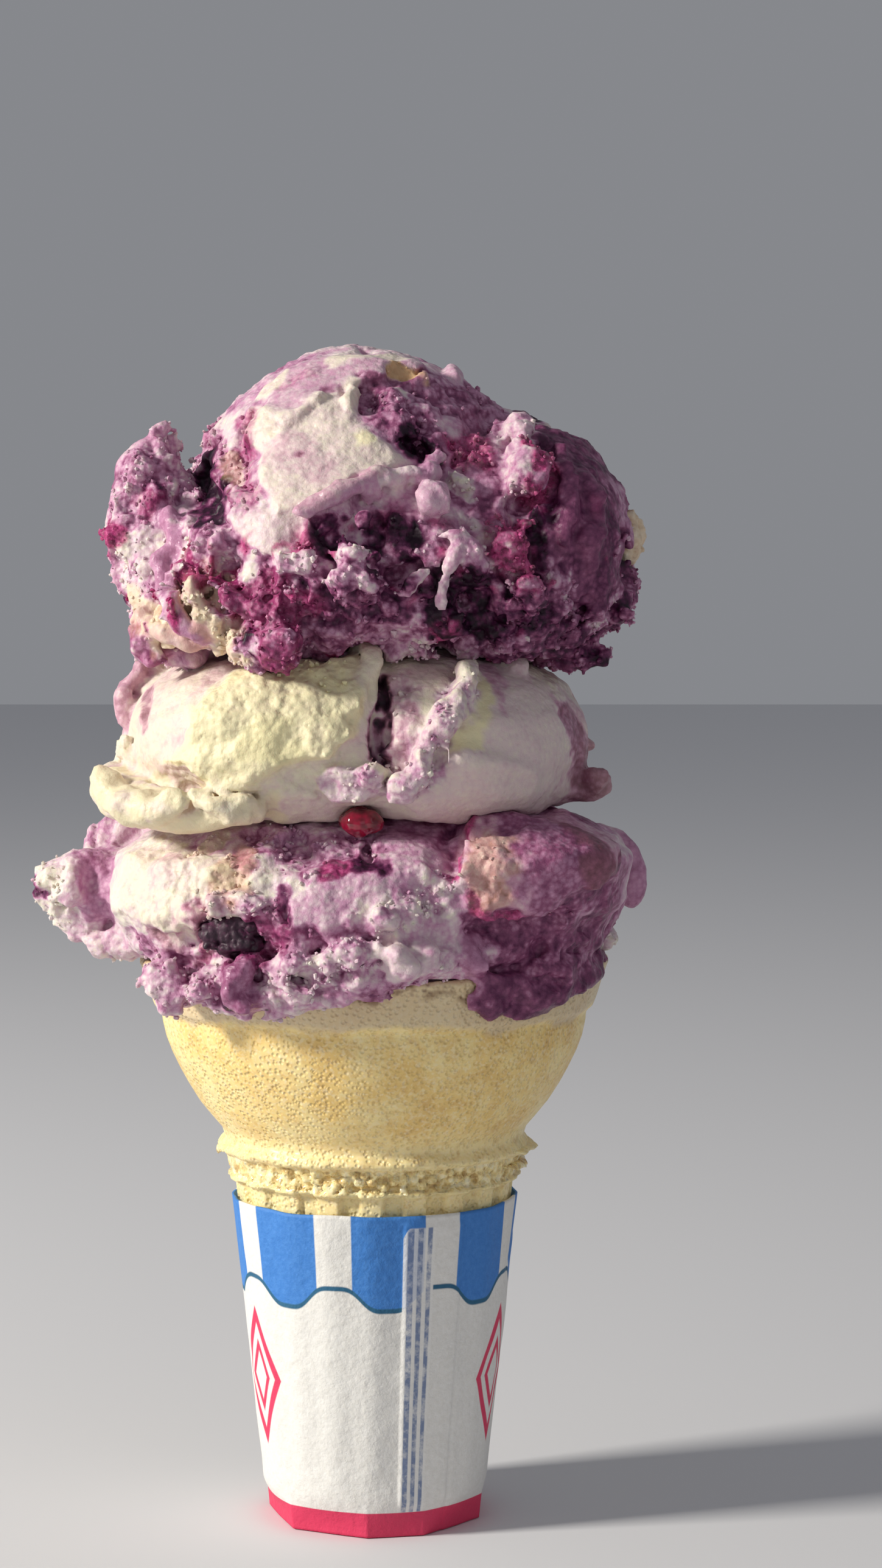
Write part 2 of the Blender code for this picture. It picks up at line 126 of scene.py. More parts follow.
def smooth_noise(points, size, seed, channels=1):
    """Hills about `size` across, -1 to 1: random heights on a lattice, blended by 3t^2 - 2t^3."""
    heights = np.random.default_rng(seed).uniform(-1.0, 1.0, (LATTICE**3, channels)).astype(np.float32)
    cell, share = cells_of(points, size, 0.37 * seed)
    share = (share * share * (3.0 - 2.0 * share))[:, :, None]
    x, y, z = ((cell[i] & (LATTICE - 1), (cell[i] + 1) & (LATTICE - 1)) for i in range(3))

    def along_z(i, j):
        row = (x[i] * LATTICE + y[j]) * LATTICE
        low, high = heights.take(row + z[0], axis=0), heights.take(row + z[1], axis=0)
        return low + (high - low) * share[2]

    def along_y(i):
        low, high = along_z(i, 0), along_z(i, 1)
        return low + (high - low) * share[1]

    low, high = along_y(0), along_y(1)
    blended = low + (high - low) * share[0]
    return blended[:, 0] if channels == 1 else blended


def clump_noise(points, size, seed):
    """Round clumps about `size` across, 1 on top and 0 in the creases: 1 - (distance to a seed)^2."""
    seeds = np.random.default_rng(seed).uniform(0.14, 0.86, (LATTICE**3, 3)).astype(np.float32)
    cell, share = cells_of(points, size, 0.61 * seed)
    step = np.where(share < 0.5, -1, 1)
    nearest = np.full(len(points), 9.0, np.float32)
    for corner in np.ndindex(2, 2, 2):
        jump = step * np.array(corner)[:, None]
        x, y, z = (cell + jump) & (LATTICE - 1)
        away = seeds.take((x * LATTICE + y) * LATTICE + z, axis=0).T + jump - share
        nearest = np.minimum(nearest, away[0] * away[0] + away[1] * away[1] + away[2] * away[2])
    return 1.0 - np.minimum(nearest / 0.62, 1.0)


def stirred(points, size, reach, seed):
    """Points pushed about by noise, so that what is drawn through them wanders."""
    return points + reach * smooth_noise(points, size, seed, 3)


def ease(share):
    """0 to 1 with a soft start and a soft stop: 3t^2 - 2t^3, held at its ends."""
    t = np.clip(share, 0.0, 1.0)
    return t * t * (3.0 - 2.0 * t)


print("noise ready, lattice of", LATTICE)

# %% [markdown]
# ## From solid to distance field and back
# Each scoop's solid becomes a block of numbers: minus inside, plus outside, in millimetres from the
# surface. In a block like that, adding a ridge is taking the smaller of two numbers and carving a
# hollow is taking the larger one, so overhangs and pits cost nothing. OpenVDB, which comes with
# Blender, makes the block from the solid and draws the surface back out of it. Broad shapes are
# worked in coarse steps, which is quick, and the crumbs in finer ones.

# %% Distance fields
COARSE = 0.63
FINE = 0.42
BAND = 8.0


def solid_of(node):
    """A CAD node's points, in millimetres and each only once, and its triangles."""
    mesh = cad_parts[node].data
    mesh.calc_loop_triangles()
    corners = np.empty(len(mesh.vertices) * 3, np.float32)
    mesh.vertices.foreach_get("co", corners)
    faces = np.empty(len(mesh.loop_triangles) * 3, np.int32)
    mesh.loop_triangles.foreach_get("vertices", faces)
    points, index = np.unique(np.round(corners.reshape(-1, 3) / MM, 4), axis=0, return_inverse=True)
    faces = index.reshape(-1)[faces].reshape(-1, 3)
    whole = (faces[:, 0] != faces[:, 1]) & (faces[:, 1] != faces[:, 2]) & (faces[:, 2] != faces[:, 0])
    return points, faces[whole]


def field_of(points, faces, step):
    """The block: the index of its first corner, and the distances. The index is even in every direction."""
    grid = openvdb.FloatGrid.createLevelSetFromPolygons(
        points.astype(np.float32), triangles=faces.astype(np.uint32),
        transform=openvdb.createLinearTransform(voxelSize=step), halfWidth=BAND)
    low, high = (np.array(corner) for corner in grid.evalActiveVoxelBoundingBox())
    low, high = (low - 4) // 2 * 2, high + 4
    values = np.empty(high - low + 1, np.float32)
    grid.copyToArray(values, ijk=tuple(int(i) for i in low))
    return low, values


def finer(low, values):
    """The same block in steps of two thirds the size: each new number blends its two nearest old ones."""
    for axis in range(3):
        place = np.arange(int((values.shape[axis] - 2) * 1.5)) / 1.5
        before = place.astype(int)
        share = (place - before).astype(np.float32).reshape([-1 if i == axis else 1 for i in range(3)])
        values = values.take(before, axis) * (1.0 - share) + values.take(before + 1, axis) * share
    return low * 3 // 2, values


def blurred(values, times):
    """Each number becomes a quarter of its neighbour, half of itself and a quarter of the other one."""
    for _ in range(times):
        for axis in range(3):
            before, after = np.roll(values, 1, axis), np.roll(values, -1, axis)
            values = 0.25 * before + 0.5 * values + 0.25 * after
    return values


def surface_of(low, values, step):
    """The surface where the block passes through 0: points in millimetres, triangles and quads."""
    grid = openvdb.FloatGrid()
    grid.background = float(values.max())
    grid.copyFromArray(np.ascontiguousarray(values, np.float32), ijk=(0, 0, 0))
    points, triangles, quads = grid.convertToPolygons(isovalue=0.0, adaptivity=0.0)
    return ((points + low) * step).astype(np.float32), triangles.astype(np.int64), quads.astype(np.int64)


def merge_in(field, other, softness):
    """The smaller of two distances, rounded where they cross: a ridge stuck on."""
    share = np.clip(0.5 + 0.5 * (other - field) / softness, 0.0, 1.0)
    return other * (1.0 - share) + field * share - softness * share * (1.0 - share)


print("steps of", COARSE, "mm and", FINE, "mm")

# %% [markdown]
# ## Marks
# A mark is one thing that the spoon or the frost left: a ridge, a hollow, or just a patch of another
# colour. Its path is given in pixels of the photograph and carried onto the scoop by a ray from the
# eye. What a mark says about the look is how much berry, butter, baked crumb, raw fruit and wet shine it
# brings, and how torn the surface is there. Its lift is how far the path stands off the surface, as a
# share of the radius, and its wobble is how far its line wanders. A plate is a smear with a crisp edge,
# given by its outline in pixels and how far it rises.

# %% Marks and plates
LOOKS = ("berry", "butter", "toast", "raw", "wet", "torn")
BERRY, BUTTER, RAW, WET, TORN = (LOOKS.index(name) for name in ("berry", "butter", "raw", "wet", "torn"))
PIXELS_PER_STEP = 12.0


def ridge(pixels, radius, **look):
    return {"kind": "ridge", "pixels": pixels, "radius": radius, **look}


# A hollow's look usually brings dark berry, which is painted shade in the recess.
def hollow(pixels, radius, **look):
    return {"kind": "hollow", "pixels": pixels, "radius": radius, **look}


def tint(pixels, radius, **look):
    return {"kind": "tint", "pixels": pixels, "radius": radius, **look}


def plate(outline, rise, edge=9.0, **look):
    return {"outline": np.array(outline, float), "rise": rise, "edge": edge, **look}


def in_small_steps(pixels):
    """The path's corners with points between them, so that the ray of each finds the curved surface."""
    corners = np.array(pixels, float)
    if len(corners) == 1:
        return corners
    lengths = np.linalg.norm(np.diff(corners, axis=0), axis=1)
    along = np.concatenate(([0.0], np.cumsum(lengths)))
    stops = np.linspace(0.0, along[-1], max(2, int(along[-1] / PIXELS_PER_STEP)))
    return np.stack([np.interp(stops, along, corners[:, i]) for i in range(2)], axis=1)


def on_surface(tree, pixels):
    """Where the rays through these pixels meet the scoop, or come nearest to it, and which way is out."""
    found, outward = [], []
    for pixel in in_small_steps(pixels):
        direction = ray_through(pixel)
        place, normal, _, _ = tree.ray_cast(Vector(EYE), Vector(direction))
        if place is None:
            beside = EYE + direction * (-EYE[1] / direction[1])
            place, normal, _, _ = tree.find_nearest(Vector(beside))
        found.append(place)
        outward.append(normal)
    return np.array(found), np.array(outward)


def path_distance(points, path):
    """How far each point is from the nearest stretch of the path, and the share of the way along it."""
    best = np.full(len(points), np.inf)
    along = np.zeros(len(points))
    legs = max(len(path) - 1, 1)
    for i in range(legs):
        start, end = path[i], path[min(i + 1, len(path) - 1)]
        leg = end - start
        share = np.clip((points - start) @ leg / max(leg @ leg, 1e-9), 0.0, 1.0)
        distance = np.linalg.norm(points - start - share[:, None] * leg, axis=1)
        along = np.where(distance < best, (i + share) / legs, along)
        best = np.minimum(best, distance)
    return best, along


def near(points, path, reach):
    """Which points lie in the path's box, with this much room round it."""
    return np.all((points > path.min(axis=0) - reach) & (points < path.max(axis=0) + reach), axis=1)


def mark_strength(points, mark):
    """1 on the mark, breaking up into blotches towards its edge. Noise is read only where it can matter."""
    reach = mark["radius"] * (1.0 if mark["kind"] == "tint" else 1.3)
    strength = np.zeros(len(points), np.float32)
    distance, _ = path_distance(points, mark["path"])
    chosen = np.flatnonzero(distance < 1.7 * reach + 0.6)
    if len(chosen):
        close = points[chosen]
        distance, _ = path_distance(stirred(close, 2.6, 0.30 * reach + 0.2, 40), mark["path"])
        ragged = 0.34 * smooth_noise(close, 2.3, 46) + 0.26 * smooth_noise(close, 0.9, 47)
        strength[chosen] = ease((1.0 - distance / reach + ragged) / 0.5 + 0.3)
    return strength


def inside_outline(across, down, outline):
    """How many pixels inside the outline each spot is, minus when it is outside."""
    closest = np.full(len(across), np.inf)
    within = np.zeros(len(across), bool)
    spots = np.stack([across, down], axis=1)
    for start, end in zip(outline, np.roll(outline, -1, axis=0)):
        leg = end - start
        share = np.clip((spots - start) @ leg / (leg @ leg), 0.0, 1.0)
        closest = np.minimum(closest, np.linalg.norm(spots - start - share[:, None] * leg, axis=1))
        crosses = (start[1] > down) != (end[1] > down)
        reach = start[0] + (down - start[1]) / np.where(leg[1] == 0.0, 1e-9, leg[1]) * leg[0]
        within ^= crosses & (across < reach)
    return np.where(within, closest, -closest)


def plate_strength(points, plate_mark):
    """1 on the plate and 0 off it, with a ragged edge. Only the side that faces the eye has plates."""
    across, down = photo_of(points)
    low, high = plate_mark["outline"].min(axis=0) - 30.0, plate_mark["outline"].max(axis=0) + 30.0
    chosen = (points[:, 1] < -4.0) & (across > low[0]) & (across < high[0]) & (down > low[1]) & (down < high[1])
    strength = np.zeros(len(points))
    if chosen.any():
        ragged = stirred(stirred(points[chosen], 4.5, 1.1, 90), 1.4, 0.45, 91)
        inside = inside_outline(*photo_of(ragged), plate_mark["outline"])
        facing = ease((-6.0 - points[chosen, 1]) / 5.0)
        strength[chosen] = ease(inside / plate_mark["edge"] + 0.5) * facing
    return strength


print("looks that a mark can bring:", ", ".join(LOOKS))

# %% [markdown]
# ## Marks for the sides that the photograph doesn't show
# The back of a scoop is as uneven as its front. It gets ridges, hollows and patches of its own, drawn
# at random with a fixed seed, so that the result is the same every time.

# %% Random marks round the back
def wandering_path(tree, rng, middle, reach):
    """A short path on the surface: a direction that drifts, looked at from outside towards the middle."""
    turn, tilt = rng.uniform(12.0, 168.0), rng.uniform(-35.0, 55.0)
    drift = rng.uniform(-26.0, 26.0, 2)
    found = []
    for share in np.linspace(0.0, 1.0, 7):
        around = math.radians(turn + drift[0] * share)
        above = math.radians(tilt + 0.6 * drift[1] * share)
        outward = np.array((math.cos(around) * math.cos(above), math.sin(around) * math.cos(above),
                            math.sin(above)))
        place, _, _, _ = tree.ray_cast(Vector(middle + outward * reach), Vector(-outward))
        if place is not None:
            found.append((place, outward))
    places, ways = zip(*found) if found else ((), ())
    return np.array(places), np.array(ways)


def back_marks(tree, middle, seed, counts, looks):
    """Ridges, hollows and tints in the numbers given, each with one of the looks for its kind."""
    rng = np.random.default_rng(seed)
    made = []
    for kind, count in counts.items():
        for _ in range(count):
            path, outward = wandering_path(tree, rng, middle, 90.0)
            if len(path) < 2:
                continue
            radius = rng.uniform(1.1, 2.2) * (2.0 if kind == "tint" else 1.0)
            look = looks[kind][rng.integers(len(looks[kind]))]
            made.append({"kind": kind, "path": path, "outward": outward, "radius": radius, **look})
    return made


print("back marks ready")

# %% [markdown]
# ## The relief of torn ice cream
# Where the spoon dragged, the surface is smooth with long shallow lines. Where the cream tore away, it
# stands in clumps as large as peppercorns with finer crumbs on them, and deep pits open between them.

# %% Relief
def broad_relief(points, torn, seed):
    """How far the surface stands out, in millimetres: hills everywhere, and clumps and pits where it is torn."""
    mixed = stirred(points, 5.5, 1.7, seed)
    hills = smooth_noise(mixed, 8.0, seed + 5)
    clumps = clump_noise(mixed, 4.4, seed + 6) - 0.6
    pits = ease((smooth_noise(mixed, 4.6, seed + 9) - 0.30) / 0.25)
    lines = smooth_noise(points / np.array((11.0, 11.0, 1.5)) + 0.02 * points[:, :1], 1.0, seed + 10)
    rough = 0.8 * hills + 1.7 * clumps - 2.2 * pits
    smeared = 0.40 * hills + 0.20 * lines
    return torn * rough + (1.0 - torn) * smeared


def fine_relief(points, torn, seed):
    """Crumbs of 2 mm with crumbs of 1 mm on them, and a faint grain where the surface is smooth."""
    mixed = stirred(points, 2.0, 0.6, seed + 7)
    crumbs = clump_noise(mixed, 2.1, seed + 8) - 0.6
    grains = clump_noise(mixed, 1.05, seed + 12) - 0.6
    grain = smooth_noise(points, 1.1, seed + 11)
    return torn * (1.05 * crumbs + 0.62 * grains + 0.15 * grain) + (1.0 - torn) * 0.06 * grain


def look_at(points, scoop):
    """The looks at these points, a column each: the scoop's own, then each plate and mark laid over it."""
    look = scoop["look"](points)
    for one in scoop["plates"] + scoop["marks"]:
        if "outline" in one:
            strength = plate_strength(points, one)
            chosen = strength > 0.0
            strength = strength[chosen]
        else:
            chosen = near(points, one["path"], 2.2 * one["radius"] + 1.0)
            strength = mark_strength(points[chosen], one)
        for column, name in enumerate(LOOKS):
            if name in one:
                look[chosen, column] += strength * (one[name] - look[chosen, column])
    return look


def scoop_relief(layer, points, scoop):
    return scoop["depth"] * layer(points, look_at(points, scoop)[:, TORN], scoop["seed"])


print("relief ready")

# %% [markdown]
# ## Carving a scoop
# The order matters. The solid's facets are blurred away first. Plates, ridges and hollows come next,
# then the relief over all of them. Last, the scoop is cut back from what it rests on.
#
# Where a scoop melts over its neighbour, the rays of its marks may end on either solid. A mark that
# stands far out moves towards the eye rather than along the surface's normal, so that it stays at its
# pixels.

# %% Carving
BLURS = 2
ROUNDING = 0.45
SUNK_AT_MOST = 0.3
FAR_OUT = 1.0
PLATE_REACH, BROAD_REACH, FINE_REACH = 4.0, 3.6, 1.9
CLEARANCE = 0.12


def block_slice(low, shape, corner_low, corner_high):
    """The part of a block between two corners in millimetres, as slices, and its points."""
    first = np.clip(np.floor(corner_low / COARSE).astype(int) - low, 0, shape)
    last = np.clip(np.ceil(corner_high / COARSE).astype(int) - low + 1, 0, shape)
    spans = tuple(slice(a, b) for a, b in zip(first, last))
    axes = [(np.arange(a, b) + o) * COARSE for a, b, o in zip(first, last, low)]
    points = np.stack(np.meshgrid(*axes, indexing="ij"), axis=-1).reshape(-1, 3)
    return spans, points


def lifted(low, field, mark):
    """The mark's path, moved out onto what the plates have raised and a share of its radius past it."""
    cell = np.clip(np.round(mark["path"] / COARSE).astype(int) - low, 0, np.array(field.shape) - 1)
    share = mark.get("lift", 0.0 if mark["kind"] == "tint" else 0.35)
    lift = share * mark["radius"] - np.minimum(field[tuple(cell.T)], SUNK_AT_MOST)
    return mark["path"] + mark["outward"] * np.clip(lift, -2.0, 5.0)[:, None]


def carve_mark(low, field, mark):
    """A ridge is stuck on and a hollow cut out, each a tube whose width and line wander."""
    path = mark["path"]
    reach = mark["radius"] * 1.4 + 2.0
    spans, points = block_slice(low, field.shape, path.min(axis=0) - reach, path.max(axis=0) + reach)
    if not len(points):
        return
    part = field[spans]
    wobble = mark.get("wobble", 0.4) * mark["radius"] + 0.1
    wandering = stirred(stirred(points, 2.6, wobble, 40), 1.2, 0.25, 41)
    distance, along = path_distance(wandering, path)
    taper = 0.72 + 0.28 * np.sin(np.pi * np.clip(along, 0.0, 1.0))
    tube = distance - mark["radius"] * taper * (1.0 + 0.22 * smooth_noise(points, 3.2, 44))
    if mark["kind"] == "ridge":
        made = merge_in(part.reshape(-1), tube, ROUNDING)
    else:
        made = -merge_in(-part.reshape(-1), tube, ROUNDING)
    field[spans] = made.reshape(part.shape)


def cut_clear(low, field, other_low, other, gap):
    """The larger of a scoop's distance and minus its neighbour's: the two no longer cross."""
    first = np.maximum(low, other_low)
    last = np.minimum(low + field.shape, other_low + other.shape)
    if np.any(last <= first):
        return
    mine = tuple(slice(a - o, b - o) for a, b, o in zip(first, last, low))
    theirs = tuple(slice(a - o, b - o) for a, b, o in zip(first, last, other_low))
    field[mine] = np.maximum(field[mine], gap - other[theirs])


def near_surface(low, field, reach, step):
    """The numbers within reach of the surface: where they are in the block, and their points."""
    cells_in = np.argwhere(np.abs(field) < reach)
    return tuple(cells_in.T), ((cells_in + low) * step).astype(np.float32)


def carve(node, scoop, resting_on):
    """The scoop's block, with every plate, mark and crumb in it."""
    points, faces = solid_of(node)
    own_tree = BVHTree.FromPolygons(points.tolist(), faces.tolist())
    tree = own_tree
    if "melts_over" in scoop:
        more_points, more_faces = solid_of(scoop["melts_over"])
        tree = BVHTree.FromPolygons(points.tolist() + more_points.tolist(),
                                    faces.tolist() + (more_faces + len(points)).tolist())
    for mark in scoop["marks"]:
        mark["path"], mark["outward"] = on_surface(tree, mark["pixels"])
        if mark.get("lift", 0.0) > FAR_OUT:
            to_eye = EYE - mark["path"]
            mark["outward"] = to_eye / np.linalg.norm(to_eye, axis=1)[:, None]
    middle = (points.min(axis=0) + points.max(axis=0)) / 2
    scoop["marks"] += back_marks(own_tree, middle, scoop["seed"], scoop["back"], scoop["back_looks"])
    low, field = field_of(points, faces, COARSE)
    field = blurred(field, BLURS)
    where, places = near_surface(low, field, PLATE_REACH, COARSE)
    for one in scoop["plates"]:
        field[where] -= one["rise"] * in_parts(lambda part: plate_strength(part, one), places)
    for mark in scoop["marks"]:
        mark["path"] = lifted(low, field, mark)
        if mark["kind"] != "tint":
            carve_mark(low, field, mark)
    where, places = near_surface(low, field, BROAD_REACH, COARSE)
    field[where] -= in_parts(lambda part: scoop_relief(broad_relief, part, scoop), places)
    low, field = finer(low, field)
    where, places = near_surface(low, field, FINE_REACH, FINE)
    field[where] -= in_parts(lambda part: scoop_relief(fine_relief, part, scoop), places)
    for other_low, other in resting_on:
        cut_clear(low, field, other_low, other, CLEARANCE)
    print(node, "block", field.shape, "marks", len(scoop["marks"]))
    return low, field


# %% [markdown]
# ## From arrays to a mesh
# foreach_set copies whole arrays into a mesh at once. The looks travel as a colour attribute on the
# points: red is berry, green is butter, blue is baked crumb and alpha is raw fruit. Shine and tornness
# have an attribute each.

# %% Meshes from arrays
def mesh_object(name, points, faces_by_size):
    """An object at the origin from points in millimetres and arrays of faces, one array for each size."""
    mesh = bpy.data.meshes.new(name)
    faces_by_size = [faces for faces in faces_by_size if len(faces)]
    corners = np.concatenate([faces.reshape(-1) for faces in faces_by_size])
    sizes = np.concatenate([np.full(len(faces), faces.shape[1]) for faces in faces_by_size])
    mesh.vertices.add(len(points))
    mesh.vertices.foreach_set("co", (points * MM).astype(np.float32).reshape(-1))
    mesh.loops.add(len(corners))
    mesh.loops.foreach_set("vertex_index", corners.astype(np.int32))
    mesh.polygons.add(len(sizes))
    mesh.polygons.foreach_set("loop_start", (np.cumsum(sizes) - sizes).astype(np.int32))
    mesh.update(calc_edges=True)
    mesh.validate()
    mesh.shade_smooth()
    obj = bpy.data.objects.new(name, mesh)
    bpy.context.scene.collection.objects.link(obj)
    return obj


def volume_of(points, faces):
    """Six times the volume, plus if the faces point outwards: each triangle with the origin, summed."""
    a, b, c = (points[faces[:, i]] for i in (0, 1, 2))
    return np.einsum("ij,ij->i", a, np.cross(b, c)).sum()


def paint(obj, look):
    """The looks on the points: the first four as a colour attribute, the rest as attributes of their own."""
    look = np.clip(look, 0.0, 1.0).astype(np.float32)
    attribute = obj.data.color_attributes.new("look", "FLOAT_COLOR", "POINT")
    attribute.data.foreach_set("color", look[:, :4].reshape(-1))
    for name, column in (("torn", TORN), ("wet", WET)):
        attribute = obj.data.attributes.new(name, "FLOAT", "POINT")
        attribute.data.foreach_set("value", np.ascontiguousarray(look[:, column]))


def scoop_object(name, low, field, scoop):
    points, triangles, quads = surface_of(low, field, FINE)
    halves = np.concatenate([triangles.reshape(-1, 3), quads[:, :3], quads[:, [0, 2, 3]]])
    if volume_of(points, halves) < 0.0:
        triangles, quads = triangles[:, ::-1], quads[:, ::-1]
    look = in_parts(lambda part: look_at(part, scoop), points)
    crumbs = in_parts(lambda part, torn: fine_relief(part, torn, scoop["seed"]), points, look[:, TORN])
    # Crumb tops lose berry and the creases between them gain it: painted light on the crests, painted shade in the
    # creases.
    look[:, BERRY] -= 0.24 * np.clip(crumbs, -1.0, 0.8)
    obj = mesh_object(name, points, [triangles, quads])
    paint(obj, look)
    print(name, len(halves), "triangles")
    return obj, look


# %% [markdown]
# ## The three scoops' own looks
# Before any mark, each scoop is a stir of cream and berry. The top one is mostly berry below and paler
# on its dome, the middle one is nearly plain cream, and the bottom one is cream turning to berry. In all
# three, the berry that grows towards the right is partly painted shade on the side away from the light.

# %% Stirred colour
def stir(points, seed, size):
    """Streaks of berry, -1 to 1: noise read at places that noise has pushed about, flattened in height."""
    pushed = stirred(points, 1.4 * size, 0.7 * size, seed)
    wide = smooth_noise(pushed * np.array((1.0, 1.0, 1.5)), size, seed + 3)
    fine = smooth_noise(pushed * np.array((1.0, 1.0, 1.8)), size / 2.6, seed + 4)
    return np.clip(1.25 * wide + 0.6 * fine, -1.0, 1.0)


def plain_look(points, berry, torn, butter=0.0):
    """One row of looks for each point, in the order of LOOKS."""
    look = np.zeros((len(points), len(LOOKS)), np.float32)
    for column, value in ((BERRY, berry), (BUTTER, butter), (WET, 0.15), (TORN, torn)):
        look[:, column] = value
    return look


def top_look(points):
    height = points[:, 2]
    low_down = 1.0 - ease((height - 128.0) / 14.0)
    # More berry towards the right: partly the berry's own colour, partly painted shade on the side away from the light.
    side = ease((points[:, 0] - 2.0) / 26.0)
    berry = 0.31 + 0.06 * low_down + 0.22 * side + 0.24 * stir(points, 11, 7.0)
    torn = 0.35 + 0.60 * low_down + 0.25 * smooth_noise(points, 10.0, 19)
    look = plain_look(points, berry, np.clip(torn, 0.05, 1.0))
    look[:, RAW] = low_down * ease((smooth_noise(stirred(points, 3.0, 1.0, 16), 3.4, 17) - 0.42) / 0.15)
    return look


def middle_look(points):
    # More berry towards the right: partly the berry's own colour, partly painted shade on the side away from the light.
    side = ease((points[:, 0] - 14.0) / 14.0)
    berry = 0.10 + 0.26 * side + 0.20 * stir(points, 21, 10.0)
    torn = 0.22 + 0.30 * smooth_noise(points, 9.0, 29)
    butter = 0.30 + 0.25 * smooth_noise(points, 12.0, 27)
    return plain_look(points, np.clip(berry, 0.0, 1.0), np.clip(torn, 0.0, 1.0), butter)


def bottom_look(points):
    # More berry towards the right: partly the berry's own colour, partly painted shade on the side away from the light.
    side = ease((points[:, 0] + 18.0) / 26.0)
    low_down = 1.0 - ease((points[:, 2] - 77.0) / 5.0)
    berry = 0.20 + 0.24 * side + 0.22 * stir(points, 31, 8.0) + 0.04 * low_down
    torn = 0.34 + 0.3 * low_down + 0.30 * smooth_noise(points, 9.0, 39)
    return plain_look(points, np.clip(berry, 0.0, 1.0), np.clip(torn, 0.0, 1.0))


print("three stirs ready")
